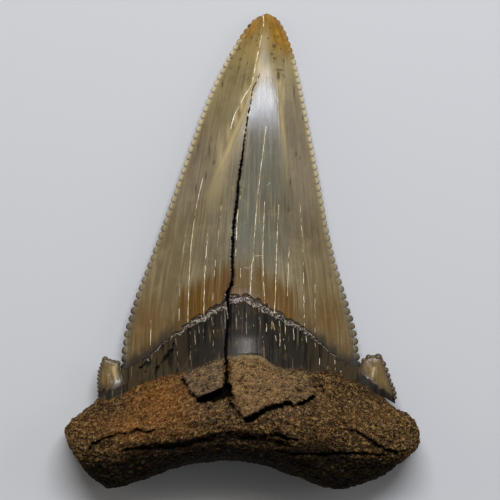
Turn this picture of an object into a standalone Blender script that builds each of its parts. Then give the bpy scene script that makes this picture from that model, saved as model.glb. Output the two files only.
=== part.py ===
"""A fossil shark tooth lying on its outer face: a serrated blade, two side cusplets and a two-lobed root.

The tooth grew as one piece, so it is one solid. Lengths below are in millimetres and are turned to
metres where points are made. X runs across the tooth, Y from the root to the tip, and Z up from
the table. The origin is on the table, under the middle of the tooth.
"""

import math

import bmesh
import bpy
from mathutils import Vector

MM = 0.001
TOOTH_NAME = "shark_tooth"

# Cutting edges of the blade, from the notch beside each cusplet to the tip, as (x, y)
BLADE_LEFT = [(-16.3, -16.5), (-15.9, -11.9), (-14.4, -6.6), (-11.8, 0.3), (-8.35, 10.1),
              (-4.75, 20.1), (-1.7, 26.4), (1.2, 30.7), (3.4, 31.9)]
BLADE_RIGHT = [(16.0, -16.1), (15.35, -10.9), (13.8, -5.5), (12.0, 1.1), (9.95, 12.1),
               (8.05, 21.9), (6.75, 27.1), (5.2, 30.7), (3.4, 31.9)]
SERRATIONS = 44
SERRATION_DEPTH = 0.45
SERRATION_PROFILE = (1.0, 0.22, 0.0, 0.16)
COARSENING = 0.22

# Heights above the table along the blade, as (y, z)
RIDGE_HEIGHT = [(-30.0, 9.0), (-18.0, 8.9), (-6.0, 8.5), (5.0, 7.8), (15.0, 6.7), (21.0, 5.5),
                (26.0, 4.1), (30.0, 2.5), (31.9, 1.5)]
EDGE_HEIGHT = [(-30.0, 3.0), (-18.0, 2.8), (0.0, 2.2), (20.0, 1.6), (31.9, 1.1)]
OUTER_FACE_HEIGHT = [(-30.0, 0.9), (-18.0, 1.0), (-8.0, 0.75), (4.0, 0.3), (17.0, -0.12),
                     (26.0, 0.2), (31.9, 0.6)]
ROUND_SHARE = 0.35
OUTER_CURL = 2.4

# Where the enamel ends: a chevron on the inner face, a low arch on the outer face, as (x, y)
INNER_MARGIN = [(-16.2, -16.6), (-13.1, -14.7), (-8.9, -11.3), (-3.8, -8.2), (0.0, -6.4),
                (4.3, -8.5), (9.0, -11.2), (13.4, -15.0), (15.9, -16.2)]
OUTER_MARGIN = [(-16.2, -16.6), (-9.0, -18.6), (0.0, -17.4), (9.0, -18.4), (15.9, -16.2)]
ENAMEL_STEP = 0.35
STEP_TAPER = 0.3
MARGIN_FADE = 20.0
BLADE_ROOTED_AT = (0.0, -19.5, 5.0)
SINK_UNDER_ENAMEL = 0.4
SINK_LENGTH = 1.2
OUTER_STEP = 0.2
MARGIN_BLEND = 7.0

# Stations across the root: lower rim (x, y), upper rim (x, y), the upper one inside the blade
ROOT_STATIONS = [
    ((-23.7, -24.2), (-23.7, -24.1)), ((-22.9, -26.0), (-22.9, -23.0)),
    ((-20.8, -29.5), (-21.2, -21.6)), ((-17.7, -31.75), (-18.8, -19.4)),
    ((-13.2, -30.7), (-13.4, -12.4)), ((-8.5, -29.0), (-8.8, -7.6)),
    ((-3.0, -28.1), (-3.4, -4.0)), ((2.0, -28.5), (2.8, -4.0)),
    ((7.2, -30.2), (8.4, -7.6)), ((12.9, -31.9), (13.2, -12.4)),
    ((18.2, -30.3), (19.4, -20.3)), ((22.0, -27.6), (22.1, -21.9)),
    ((23.3, -26.2), (23.2, -23.4)), ((23.7, -24.9), (23.7, -24.8)),
]
CREST_Y = -22.8
CREST_BEND = -0.008
CREST_SHARES = (0.2, 0.6)
SWELL_BEYOND_MARGIN = 1.5
CREST_HEIGHT = [(-24.0, 7.6), (-18.0, 9.6), (-11.0, 11.2), (-5.0, 13.2), (0.0, 13.8),
                (5.0, 13.2), (11.0, 11.4), (18.0, 9.8), (24.0, 7.8)]
RIM_HEIGHT = 3.6
OUTER_ROOT_HEIGHT = 1.25
LEAST_HALF_THICKNESS = 0.3
ROOT_END_ROUNDING = 0.16
UPPER_RIM_ROUNDING = 0.06
OUTER_RIM_ROUNDING = 0.3
LOBE_CONTACT = (15.0, -26.0)
LOBE_SAG = 1.35
LOBE_SAG_WIDTH = 7.0

# Knobs and hollows of the root's inner face, as (x, y, height, radius)
KNOBS = [(0.5, -24.9, -0.9, 2.6), (-13.5, -22.0, -0.45, 3.0), (-19.0, -25.5, 0.5, 3.6),
         (17.0, -24.6, 0.6, 3.4), (11.0, -25.6, -0.5, 2.4), (-7.4, -21.8, 0.35, 2.4)]

# Side cusplets: left edge and right edge, each from the root to the apex, as (x, y)
CUSPLET_LEFT = ([(-19.4, -20.6), (-19.3, -18.6), (-19.15, -16.6), (-18.7, -14.9), (-18.2, -14.4)],
                [(-15.6, -18.4), (-16.0, -17.0), (-16.2, -15.9), (-17.0, -14.8), (-18.2, -14.4)])
CUSPLET_RIGHT = ([(15.2, -18.4), (15.5, -16.6), (16.1, -15.1), (16.8, -14.1), (18.0, -13.8)],
                 [(21.0, -22.0), (20.7, -19.8), (19.7, -17.2), (19.2, -14.9), (18.0, -13.8)])
CUSPLET_SERRATIONS = 5
CUSPLET_EDGE_HEIGHT = 3.1
CUSPLET_TAPER = 0.8
CUSPLET_RISE = 2.0
CUSPLET_DROP = 1.2

# Flakes of the root's outer layer below the enamel, and the gaps that they overhang, as (x, y)
FLAKE_LEFT = [(-8.0, -16.8), (-6.6, -14.6), (-2.4, -13.9), (-2.35, -17.3), (-2.8, -18.2),
              (-5.7, -19.3), (-7.2, -18.0)]
FLAKE_RIGHT = [(-1.5, -14.1), (3.0, -14.0), (7.0, -15.2), (9.9, -16.9), (9.5, -19.1),
               (6.8, -20.2), (3.2, -20.5), (0.3, -21.9), (-1.4, -18.0)]
FLAKE_RISE = 0.45
FLAKE_SEATED = 0.15
FLAKE_RAMP = 0.6
GAP_LEFT = [(-5.9, -19.2), (-2.9, -18.0), (-1.2, -18.0), (-0.9, -18.9), (-2.9, -19.6), (-5.6, -20.2)]
GAP_RIGHT = [(0.6, -22.0), (3.2, -20.4), (5.9, -19.9), (9.6, -19.0), (9.3, -19.9), (5.8, -20.7),
             (3.8, -21.3), (1.0, -22.5)]
GAP_DEPTH = 1.6

# The open crack down the inner face, as (x, y, half of its width)
CRACK = [(0.6, 15.5, 0.06), (-0.2, 10.9, 0.18), (-0.9, 5.1, 0.2), (-1.2, -0.4, 0.24),
         (-1.7, -5.8, 0.2), (-1.9, -11.2, 0.16), (-2.0, -17.0, 0.2), (-1.5, -18.6, 0.22)]
CRACK_DEPTH = 1.2

# How finely the solid is faceted
BLADE_COLUMNS = (-1.0, -0.92, -0.6, -0.3, 0.0, 0.3, 0.6, 0.92, 1.0)
BLADE_OUTER_COLUMNS = (0.92, 0.55, 0.0, -0.55, -0.92)
CUSPLET_COLUMNS = (-1.0, -0.55, 0.0, 0.55, 1.0)
ROOT_RINGS = 44
ROOT_INNER_STEPS = 11
ROOT_OUTER_STEPS = 7
RIM_CROWDING = 1.6
END_CROWDING = 0.6
UNDER_ENAMEL_STEP = 0.4
CURVE_STEPS = 3
FINE_STEPS = 400
TABLE_CUTTER_SIZE = (70.0, 80.0, 2.0)

ENAMEL_COLOUR = (0.19, 0.17, 0.12, 1.0)


def hermite(values, slopes, t):
    """One cubic from values[0] to values[1], with these slopes at its ends."""
    a, b = values
    return ((2 * t**3 - 3 * t**2 + 1) * a + (t**3 - 2 * t**2 + t) * slopes[0]
            + (3 * t**2 - 2 * t**3) * b + (t**3 - t**2) * slopes[1])


def smooth(share):
    """Share held within 0 to 1, and eased at both ends."""
    share = max(0.0, min(1.0, share))
    return share * share * (3 - 2 * share)


def level(table, at):
    """The second value of a table of pairs at this first value, smoothly."""
    if at <= table[0][0]:
        return table[0][1]
    if at >= table[-1][0]:
        return table[-1][1]
    i = max(k for k in range(len(table) - 1) if table[k][0] <= at)
    gap = table[i + 1][0] - table[i][0]

    def slope(k):
        before, after = table[max(k - 1, 0)], table[min(k + 1, len(table) - 1)]
        return (after[1] - before[1]) / (after[0] - before[0])

    ends = (slope(i) * gap, slope(i + 1) * gap)
    return hermite((table[i][1], table[i + 1][1]), ends, (at - table[i][0]) / gap)


def along(points, share):
    """The point at this share, 0 to 1, of a smooth curve through points, counted by point."""
    place = min(max(share, 0.0), 1.0) * (len(points) - 1)
    i = min(int(place), len(points) - 2)
    at = [Vector(points[min(max(i + k, 0), len(points) - 1)]) for k in (-1, 0, 1, 2)]
    return hermite((at[1], at[2]), ((at[2] - at[0]) / 2, (at[3] - at[1]) / 2), place - i)


def graded(points, steps):
    """Points along a smooth curve, both ends included, which stand closer towards its end."""
    fine = [along(points, k / FINE_STEPS) for k in range(FINE_STEPS + 1)]
    reach = [0.0]
    for before, after in zip(fine, fine[1:]):
        reach.append(reach[-1] + (after - before).length)
    found = []
    k = 0
    for step in range(steps + 1):
        share = step / steps
        goal = reach[-1] * share * (1 + COARSENING * (1 - share))
        while k < len(reach) - 2 and reach[k + 1] < goal:
            k += 1
        found.append(fine[k].lerp(fine[k + 1], (goal - reach[k]) / (reach[k + 1] - reach[k])))
    return found


def swapped(points):
    """Points (x, y) as a table from y to x."""
    return [(y, x) for x, y in points]


def across_blade(x, y):
    """Where x is across the blade at this y: -1 at the left edge, 1 at the right edge."""
    left, right = level(swapped(BLADE_LEFT), y), level(swapped(BLADE_RIGHT), y)
    return max(-1.0, min(1.0, (2 * x - left - right) / (right - left)))


def blade_height(s, y):
    """The blade's inner face: a dome along the middle that flattens towards the cutting edges."""
    flat = 1 - s * s
    edge = level(EDGE_HEIGHT, y)
    return edge + (level(RIDGE_HEIGHT, y) - edge) * (ROUND_SHARE * flat + (1 - ROUND_SHARE) * flat**2)


def outer_height(s, y):
    """The outer face, which lies on the table: nearly flat, rising to the cutting edges."""
    middle = level(OUTER_FACE_HEIGHT, y)
    return middle + (level(EDGE_HEIGHT, y) - middle) * abs(s) ** OUTER_CURL


def crest_y(x):
    """The line along which the root stands out most."""
    return CREST_Y + CREST_BEND * x * x


def inner_height(x, y, s=None):
    """The inner face of the whole tooth: the blade, which swells into the root's crest."""
    s = across_blade(x, y) if s is None else s
    top = crest_y(x)
    fade = (y - top) / (level(INNER_MARGIN, x) + SWELL_BEYOND_MARGIN - top)
    swell = level(CREST_HEIGHT, x) - blade_height(across_blade(x, top), top)
    knobs = sum(h * math.exp(-((x - kx)**2 + (y - ky)**2) / r**2) for kx, ky, h, r in KNOBS)
    return blade_height(s, y) + swell * (1 - smooth(fade)) + knobs


def under(margin, x, y):
    """How far a place lies under the enamel: 0 up to its margin, 1 from SINK_LENGTH beyond it."""
    return smooth((y - level(margin, x)) / SINK_LENGTH)


def root_inner_height(x, y):
    """The root's inner face, which dips under the enamel."""
    return inner_height(x, y) - SINK_UNDER_ENAMEL * under(INNER_MARGIN, x, y)


def root_outer_height(x, y):
    """The root's outer face: lowest where each lobe rests, and level with the blade at its margin."""
    away = (Vector((abs(x), y)) - Vector(LOBE_CONTACT)).length_squared / LOBE_SAG_WIDTH**2
    bare = OUTER_ROOT_HEIGHT - LOBE_SAG * math.exp(-away)
    share = (y - level(OUTER_MARGIN, x)) / MARGIN_BLEND + 1
    flush = outer_height(across_blade(x, y), y) + OUTER_STEP
    height = bare + (flush - bare) * smooth(share)
    return height + SINK_UNDER_ENAMEL * under(OUTER_MARGIN, x, y)


def rounding(share, reach):
    """Rises as a quarter of an ellipse from 0 at share 0 to 1 at share reach."""
    return math.sqrt(1 - (1 - min(share / reach, 1.0)) ** 2)


def loft(name, rings, first_end, last_end):
    """A closed mesh through rings of equal length. An end is a point to close on, or None for a ladder."""
    mesh = bmesh.new()
    loops = [[mesh.verts.new(Vector(p) * MM) for p in ring] for ring in rings]
    count = len(rings[0])
    for low, high in zip(loops, loops[1:]):
        for k in range(count):
            n = (k + 1) % count
            mesh.faces.new((low[k], low[n], high[n], high[k]))
    for ring, end in ((loops[0], first_end), (loops[-1], last_end)):
        if end is None:
            half = count // 2
            for k in range(half):
                corners = [ring[k], ring[k + 1], ring[-k - 1], ring[-k]]
                mesh.faces.new(list(dict.fromkeys(corners)))
        else:
            point = mesh.verts.new(Vector(end) * MM)
            for k in range(count):
                mesh.faces.new((ring[k], ring[(k + 1) % count], point))
    bmesh.ops.recalc_face_normals(mesh, faces=mesh.faces)
    return finished(name, mesh)


def finished(name, mesh):
    """Turns a bmesh into an object with triangles only, because its quads aren't flat."""
    bmesh.ops.triangulate(mesh, faces=mesh.faces)
    data = bpy.data.meshes.new(name)
    mesh.to_mesh(data)
    mesh.free()
    return bpy.data.objects.new(name, data)


def outward(points, k, side):
    """The way out of the blade at point k of an edge: side is -1 on the left, 1 on the right."""
    tangent = (points[min(k + 1, len(points) - 1)] - points[max(k - 1, 0)]).normalized()
    return Vector((tangent.y, -tangent.x)) * side


def edge_rows(left, right, serrations):
    """Rows up the blade: both edge points, and how far the valleys between serrations draw each in."""
    rows = serrations * len(SERRATION_PROFILE)
    lefts, rights = graded(left, rows), graded(right, rows)
    found = []
    for k in range(rows):
        depth = SERRATION_DEPTH * SERRATION_PROFILE[k % len(SERRATION_PROFILE)]
        found.append((lefts[k], rights[k], outward(lefts, k, -1) * depth, outward(rights, k, 1) * depth))
    return found


def on_row(row, s):
    """The point of a row at s, which only a cutting edge draws in."""
    left, right, left_in, right_in = row
    flat = left.lerp(right, (s + 1) / 2)
    if s == -1:
        return flat - left_in
    if s == 1:
        return flat - right_in
    return flat


def make_blade():
    """The enamel blade, from the margin of the enamel to the tip."""
    rings = []
    rows = edge_rows(BLADE_LEFT, BLADE_RIGHT, SERRATIONS)
    for row in rows:
        lift = max(0.0, 1 - (row[0].y - rows[0][0].y) / MARGIN_FADE)
        ring = []
        for s in BLADE_COLUMNS:
            flat = on_row(row, s)
            base = on_row(rows[0], s)
            y = flat.y + lift * (level(INNER_MARGIN, base.x) - base.y)
            step = ENAMEL_STEP * rounding(1 - abs(s), STEP_TAPER)
            ring.append((flat.x, y, inner_height(flat.x, y, s) + step * lift))
        for s in BLADE_OUTER_COLUMNS:
            flat = on_row(row, s)
            base = on_row(rows[0], s)
            y = flat.y + lift * (level(OUTER_MARGIN, base.x) - base.y)
            ring.append((flat.x, y, outer_height(s, y)))
        rings.append(ring)
    tip = BLADE_LEFT[-1]
    return loft("blade", rings, BLADE_ROOTED_AT, (*tip, level(EDGE_HEIGHT, tip[1])))


def make_cusplet(name, left_edge, right_edge):
    """A small serrated side tooth beside the blade."""
    rings = []
    rows = edge_rows(left_edge, right_edge, CUSPLET_SERRATIONS)
    for k, row in enumerate(rows):
        full = rounding(1 - k / len(rows), CUSPLET_TAPER)
        front = []
        back = []
        for s in CUSPLET_COLUMNS:
            flat = on_row(row, s)
            swell = (1 - s * s) * full
            front.append((flat.x, flat.y, CUSPLET_EDGE_HEIGHT + CUSPLET_RISE * swell))
            back.append((flat.x, flat.y, CUSPLET_EDGE_HEIGHT - CUSPLET_DROP * swell))
        rings.append(front + back[-2:0:-1])
    return loft(name, rings, None, (*left_edge[-1], CUSPLET_EDGE_HEIGHT))


def ring_shares(margin_y, low, high, steps):
    """Shares of the way up a root section: close at the rim, then even up to the enamel and under it."""
    at_margin = max(0.5, min(0.94, (margin_y - low.y) / (high.y - low.y)))
    shares = [at_margin * (k / steps) ** RIM_CROWDING for k in range(steps + 1)]
    return shares + [at_margin + (1 - at_margin) * UNDER_ENAMEL_STEP, 1.0]


def root_ring(share):
    """One section across the root, up its inner face from the lower rim and down its outer face."""
    low = along([station[0] for station in ROOT_STATIONS], share)
    high = along([station[1] for station in ROOT_STATIONS], share)
    ends = rounding(min(share, 1 - share), ROOT_END_ROUNDING)
    crest = (crest_y((low.x + high.x) / 2) - low.y) / (high.y - low.y)
    crest = max(CREST_SHARES[0], min(CREST_SHARES[1], crest))
    inside = (root_inner_height(*high) + root_outer_height(*high)) / 2
    ring = []
    for v in ring_shares(level(INNER_MARGIN, high.x), low, high, ROOT_INNER_STEPS):
        flat = low.lerp(high, v)
        rim = RIM_HEIGHT + (inside - RIM_HEIGHT) * v
        rise = max(root_inner_height(flat.x, flat.y) - rim, LEAST_HALF_THICKNESS)
        shape = rounding(v, crest) * rounding(1 - v, UPPER_RIM_ROUNDING) * ends
        ring.append((flat.x, flat.y, rim + rise * shape))
    for v in ring_shares(level(OUTER_MARGIN, high.x), low, high, ROOT_OUTER_STEPS)[-2:0:-1]:
        flat = low.lerp(high, v)
        rim = RIM_HEIGHT + (inside - RIM_HEIGHT) * v
        rise = min(root_outer_height(flat.x, flat.y) - rim, -LEAST_HALF_THICKNESS)
        shape = rounding(v, OUTER_RIM_ROUNDING) * rounding(1 - v, UPPER_RIM_ROUNDING) * ends
        ring.append((flat.x, flat.y, rim + rise * shape))
    return ring


def make_root():
    """The root with the bare band below the enamel, lofted from lobe to lobe."""
    rings = []
    for k in range(1, ROOT_RINGS + 1):
        share = k / (ROOT_RINGS + 1)
        crowded = (1 - math.cos(math.pi * share)) / 2
        rings.append(root_ring(share + END_CROWDING * (crowded - share)))
    left, right = ROOT_STATIONS[0][0], ROOT_STATIONS[-1][0]
    return loft("root", rings, (*left, RIM_HEIGHT), (*right, RIM_HEIGHT))


def outline_slab(points, steps):
    """A flat slab inside a smooth closed outline: the bmesh, and its upper vertices."""
    mesh = bmesh.new()
    wrapped = [points[-1], *points, points[0], points[1]]
    corners = []
    for k in range(len(points) * steps):
        corners.append(along(wrapped, (1 + k / steps) / (len(wrapped) - 1)))
    mesh.faces.new([mesh.verts.new((p.x, p.y, 0.0)) for p in corners])
    if steps == 1:
        bmesh.ops.triangulate(mesh, faces=mesh.faces)
        bmesh.ops.subdivide_edges(mesh, edges=mesh.edges, cuts=2, use_grid_fill=True)
    raised = bmesh.ops.extrude_face_region(mesh, geom=mesh.faces[:])["geom"]
    return mesh, {v for v in raised if isinstance(v, bmesh.types.BMVert)}


def set_on_tooth(name, mesh, tops, rise, depth):
    """Moves a slab's top this far above the inner face, and its underside this far below."""
    for vert in mesh.verts:
        offset = rise(vert.co.y) if vert in tops else -depth
        vert.co.z = inner_height(vert.co.x, vert.co.y) + offset
        vert.co *= MM
    bmesh.ops.recalc_face_normals(mesh, faces=mesh.faces)
    return finished(name, mesh)


def make_flake(name, points):
    """A flake of the root's outer layer, level at its upper end and raised at its lower end."""
    high, low = max(y for x, y in points), min(y for x, y in points)

    def rise(y):
        share = min(1.0, (high - y) / (high - low) / FLAKE_RAMP)
        return FLAKE_RISE * share - FLAKE_SEATED * (1 - share)

    mesh, tops = outline_slab(points, 1)
    return set_on_tooth(name, mesh, tops, rise, GAP_DEPTH)


def make_cutter(name, points):
    """A cutter with this outline in plan, for the gap that a flake overhangs."""
    mesh, tops = outline_slab(points, CURVE_STEPS)
    return set_on_tooth(name, mesh, tops, lambda y: GAP_DEPTH, GAP_DEPTH)


def make_crack_cutter():
    """The crack as a thin cutter, tapering to its upper end."""
    left = [(x - half, y) for x, y, half in CRACK]
    right = [(x + half, y) for x, y, half in CRACK]
    rings = []
    steps = 2 * (len(CRACK) - 1)
    for k in range(steps + 1):
        a, b = along(left, k / steps), along(right, k / steps)
        top = inner_height((a.x + b.x) / 2, a.y)
        rings.append([(a.x, a.y, top + CRACK_DEPTH), (b.x, b.y, top + CRACK_DEPTH),
                      (b.x, b.y, top - CRACK_DEPTH), (a.x, a.y, top - CRACK_DEPTH)])
    return loft("crack_cutter", rings, None, None)


def make_table_cutter():
    """A slab whose top is the table, which trims the resting spots flat."""
    mesh = bmesh.new()
    bmesh.ops.create_cube(mesh, size=1.0)
    wide, deep, thick = TABLE_CUTTER_SIZE
    for vert in mesh.verts:
        vert.co = Vector((vert.co.x * wide, vert.co.y * deep, (vert.co.z - 0.5) * thick)) * MM
    return finished("table_cutter", mesh)


def enamel_material():
    """The grey-brown of mineralised enamel and bone."""
    material = bpy.data.materials.new("fossil_enamel")
    material.use_nodes = True
    shader = material.node_tree.nodes["Principled BSDF"]
    shader.inputs["Base Color"].default_value = ENAMEL_COLOUR
    shader.inputs["Roughness"].default_value = 0.4
    shader.inputs["Metallic"].default_value = 0.0
    return material


def main():
    for obj in list(bpy.data.objects):
        bpy.data.objects.remove(obj)
    scene = bpy.context.scene.collection
    shown = bpy.data.collections.new("shark_tooth_parts")
    helpers = bpy.data.collections.new("cutters")
    scene.children.link(shown)
    scene.children.link(helpers)

    tooth = make_root()
    tooth.name = TOOTH_NAME
    tooth.data.name = TOOTH_NAME
    tooth.data.materials.append(enamel_material())
    shown.objects.link(tooth)

    joined = [
        make_blade(),
        make_cusplet("cusplet_left", *CUSPLET_LEFT),
        make_cusplet("cusplet_right", *CUSPLET_RIGHT),
        make_flake("flake_left", FLAKE_LEFT),
        make_flake("flake_right", FLAKE_RIGHT),
    ]
    cut = [
        make_crack_cutter(),
        make_cutter("gap_left", GAP_LEFT),
        make_cutter("gap_right", GAP_RIGHT),
        make_table_cutter(),
    ]
    for helper, operation in [(h, "UNION") for h in joined] + [(h, "DIFFERENCE") for h in cut]:
        helpers.objects.link(helper)
        helper.hide_render = True
        helper.display_type = "WIRE"
        boolean = tooth.modifiers.new(f"{operation.lower()}_{helper.name}", "BOOLEAN")
        boolean.operation = operation
        boolean.object = helper


main()
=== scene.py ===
import math

import bmesh
import bpy
import numpy as np
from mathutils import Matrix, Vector, noise
from mathutils.bvhtree import BVHTree


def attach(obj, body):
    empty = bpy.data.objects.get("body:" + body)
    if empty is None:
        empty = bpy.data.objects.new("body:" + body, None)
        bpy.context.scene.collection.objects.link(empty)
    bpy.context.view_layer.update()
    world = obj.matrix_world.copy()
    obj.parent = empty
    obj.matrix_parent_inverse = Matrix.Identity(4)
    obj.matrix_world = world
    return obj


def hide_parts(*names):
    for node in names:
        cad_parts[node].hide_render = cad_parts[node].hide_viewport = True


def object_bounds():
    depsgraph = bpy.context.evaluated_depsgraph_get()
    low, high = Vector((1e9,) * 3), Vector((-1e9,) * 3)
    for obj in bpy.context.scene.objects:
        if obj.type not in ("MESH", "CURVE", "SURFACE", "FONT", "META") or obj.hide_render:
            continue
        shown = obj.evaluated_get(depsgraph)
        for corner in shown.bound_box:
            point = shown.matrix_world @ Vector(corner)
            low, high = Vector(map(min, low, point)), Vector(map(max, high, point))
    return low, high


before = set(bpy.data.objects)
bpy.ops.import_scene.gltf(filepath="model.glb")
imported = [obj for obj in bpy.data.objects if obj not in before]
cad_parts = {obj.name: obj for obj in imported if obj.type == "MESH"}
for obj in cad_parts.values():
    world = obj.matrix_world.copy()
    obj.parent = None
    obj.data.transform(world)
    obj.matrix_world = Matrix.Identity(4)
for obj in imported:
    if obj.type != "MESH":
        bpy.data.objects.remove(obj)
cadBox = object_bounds()
mm = 0.001
# the picture's pixels per millimetre, and the pixel where x and y are 0
pixelsPerMm, middlePixel = 7.47, (241.85, 250)

# The tooth lies on its outer face: x across, y from the root to the tip, z up. Shapes are in millimetres.
toothForm = {
    "bladeLeft": [(-16.3, -16.5), (-15.9, -11.9), (-14.4, -6.6), (-11.8, 0.3), (-8.35, 10.1),
                  (-4.75, 20.1), (-1.7, 26.4), (1.2, 30.7), (3.4, 31.9)],
    "bladeRight": [(16.0, -16.1), (15.35, -10.9), (13.8, -5.5), (12.0, 1.1), (9.95, 12.1),
                   (8.05, 21.9), (6.75, 27.1), (5.2, 30.7), (3.4, 31.9)],
    "ridge": [(-30.0, 9.0), (-18.0, 8.9), (-6.0, 8.5), (5.0, 7.8), (15.0, 6.8), (21.0, 5.5),
              (26.0, 3.95), (30.0, 2.4), (31.9, 1.5)],
    "edge": [(-30.0, 3.0), (-18.0, 2.8), (0.0, 2.2), (20.0, 1.6), (31.9, 1.1)],
    "outerFace": [(-30.0, 0.9), (-18.0, 1.0), (-8.0, 0.75), (4.0, 0.3), (17.0, -0.12),
                  (26.0, 0.2), (31.9, 0.6)],
    "innerMargin": [(-16.2, -16.6), (-13.1, -14.7), (-8.9, -11.3), (-3.8, -8.2), (0.0, -6.4),
                    (4.3, -8.5), (9.0, -11.2), (13.4, -15.0), (15.9, -16.2)],
    "outerMargin": [(-16.2, -16.6), (-9.0, -18.6), (0.0, -17.4), (9.0, -18.4), (15.9, -16.2)],
    "crest": [(-24.0, 7.6), (-18.0, 9.6), (-11.0, 11.2), (-5.0, 13.2), (0.0, 13.8),
              (5.0, 13.2), (11.0, 11.4), (18.0, 9.8), (24.0, 7.8)],
    "knobs": [(0.5, -24.9, -0.9, 2.6), (-13.5, -22.0, -0.45, 3.0), (-19.0, -25.5, 0.5, 3.6),
              (17.0, -24.6, 0.6, 3.4), (11.0, -25.6, -0.5, 2.4), (-7.4, -21.8, 0.35, 2.4)],
    "bosses": [(13.8, -22.1, 0.4, 0.55), (6.9, -17.6, 0.3, 0.6), (8.9, -15.6, -0.4, 0.45),
               (-20.6, -22.4, 0.3, 0.9), (-13.5, -16.6, 0.3, 0.7)],
    "rootLow": [(-23.7, -24.2), (-22.9, -26.0), (-20.8, -29.5), (-17.7, -31.75), (-13.2, -30.7),
                (-8.5, -29.0), (-3.0, -28.1), (2.0, -28.5), (7.2, -30.2), (12.9, -31.9),
                (18.2, -30.3), (22.0, -27.6), (23.3, -26.2), (23.7, -24.9)],
    "rootHigh": [(-23.7, -24.1), (-22.9, -23.0), (-21.2, -21.6), (-18.8, -19.4), (-13.4, -12.4),
                 (-8.8, -7.6), (-3.4, -4.0), (2.8, -4.0), (8.4, -7.6), (13.2, -12.4),
                 (19.4, -20.3), (22.1, -21.9), (23.2, -23.4), (23.7, -24.8)],
    "roundShare": 0.35,             # of the blade's dome; the rest flattens towards the edges
    "outerCurl": 2.4,               # how late the outer face turns up to the edges
    "crestLine": (-22.8, -0.008),   # y of the root's crest, and its bend
    "swellBeyondMargin": 1.5,
    "crestRounding": 0.4,           # share of the slope that is still rounded over the crest
    "slopeEase": 1.45,
}
# The crack from the tip to the flakes, as (x, y, half of its width)
crackPath = [(2.9, 31.9, 0.01), (2.75, 28.0, 0.02), (2.4, 25.0, 0.03), (2.24, 23.09, 0.05),
             (1.36, 21.31, 0.08),
             (1.14, 19.28, 0.06), (0.81, 18.03, 0.1), (0.66, 16.67, 0.09), (0.33, 14.62, 0.11),
             (0.05, 12.18, 0.17),
             (-0.22, 10.5, 0.22), (-0.44, 8.97, 0.21), (-0.6, 6.72, 0.25), (-0.78, 5.4, 0.24),
             (-1.0, 4.06, 0.22),
             (-1.13, 2.28, 0.25), (-1.21, -0.37, 0.25), (-1.21, -3.48, 0.24), (-1.4, -4.6, 0.3),
             (-1.77, -5.5, 0.34),
             (-1.88, -6.37, 0.3), (-1.85, -9.84, 0.14), (-2.12, -12.9, 0.17), (-2.03, -15.4, 0.17),
             (-2.03, -18.1, 0.24)]


def smoothStep(t):
    t = np.clip(t, 0.0, 1.0)
    return t * t * (3 - 2 * t)


def bell(t, power=2):
    return np.exp(-np.abs(t) ** power)


def rounding(share, reach):
    return np.sqrt(np.clip(1 - (1 - np.minimum(share / reach, 1.0)) ** 2, 0, 1))


def cubic(t, a, slopeA, b, slopeB):
    return ((2 * t**3 - 3 * t**2 + 1) * a + (t**3 - 2 * t**2 + t) * slopeA
            + (3 * t**2 - 2 * t**3) * b + (t**3 - t**2) * slopeB)


def throughPairs(pairs):
    # a smooth function through (at, value) pairs, level beyond both ends
    at, value = np.array(sorted(pairs), float).T
    slope = np.diff(value) / np.diff(at)
    slope = np.concatenate([slope[:1], (value[2:] - value[:-2]) / (at[2:] - at[:-2]), slope[-1:]])

    def read(x):
        x = np.clip(x, at[0], at[-1])
        i = np.clip(np.searchsorted(at, x, side="right") - 1, 0, len(at) - 2)
        gap = at[i + 1] - at[i]
        return cubic((x - at[i]) / gap, value[i], slope[i] * gap, value[i + 1], slope[i + 1] * gap)
    return read


def alongPath(points, shares):
    # points of a smooth curve at these shares of its length counted by point
    p = np.array(points, float)
    place = np.clip(np.asarray(shares, float), 0, 1) * (len(p) - 1)
    i = np.minimum(place.astype(int), len(p) - 2)
    before, after = np.maximum(i - 1, 0), np.minimum(i + 2, len(p) - 1)
    return cubic((place - i)[:, None], p[i], (p[i + 1] - p[before]) / 2, p[i + 1], (p[after] - p[i]) / 2)


def byLength(points, shares):
    # points of a smooth curve at these shares of its true length
    fine = alongPath(points, np.linspace(0, 1, 801))
    reach = np.concatenate([[0], np.cumsum(np.linalg.norm(np.diff(fine, axis=0), axis=1))])
    goal = np.asarray(shares) * reach[-1]
    return np.stack([np.interp(goal, reach, fine[:, k]) for k in range(fine.shape[1])], 1)


form = {name: throughPairs(toothForm[name]) for name in
        ("ridge", "edge", "outerFace", "innerMargin", "outerMargin", "crest")}
for side in ("bladeLeft", "bladeRight"):
    form[side] = throughPairs([(y, x) for x, y in toothForm[side]])
crackX = throughPairs([(y, x) for x, y, half in crackPath])
crackHalf = throughPairs([(y, half) for x, y, half in crackPath])


def acrossBlade(x, y):
    # -1 at the left cutting edge, 1 at the right one
    left, right = form["bladeLeft"](y), form["bladeRight"](y)
    return np.clip((2 * x - left - right) / (right - left), -1, 1)


def bladeHeight(s, y):
    flat = 1 - s * s
    edge = form["edge"](y)
    dome = toothForm["roundShare"] * flat + (1 - toothForm["roundShare"]) * flat**2
    return edge + (form["ridge"](y) - edge) * dome


def outerHeight(s, y):
    middle = form["outerFace"](y)
    return middle + (form["edge"](y) - middle) * np.abs(s) ** toothForm["outerCurl"]


def crestY(x):
    y, bend = toothForm["crestLine"]
    return y + bend * x * x


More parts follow.
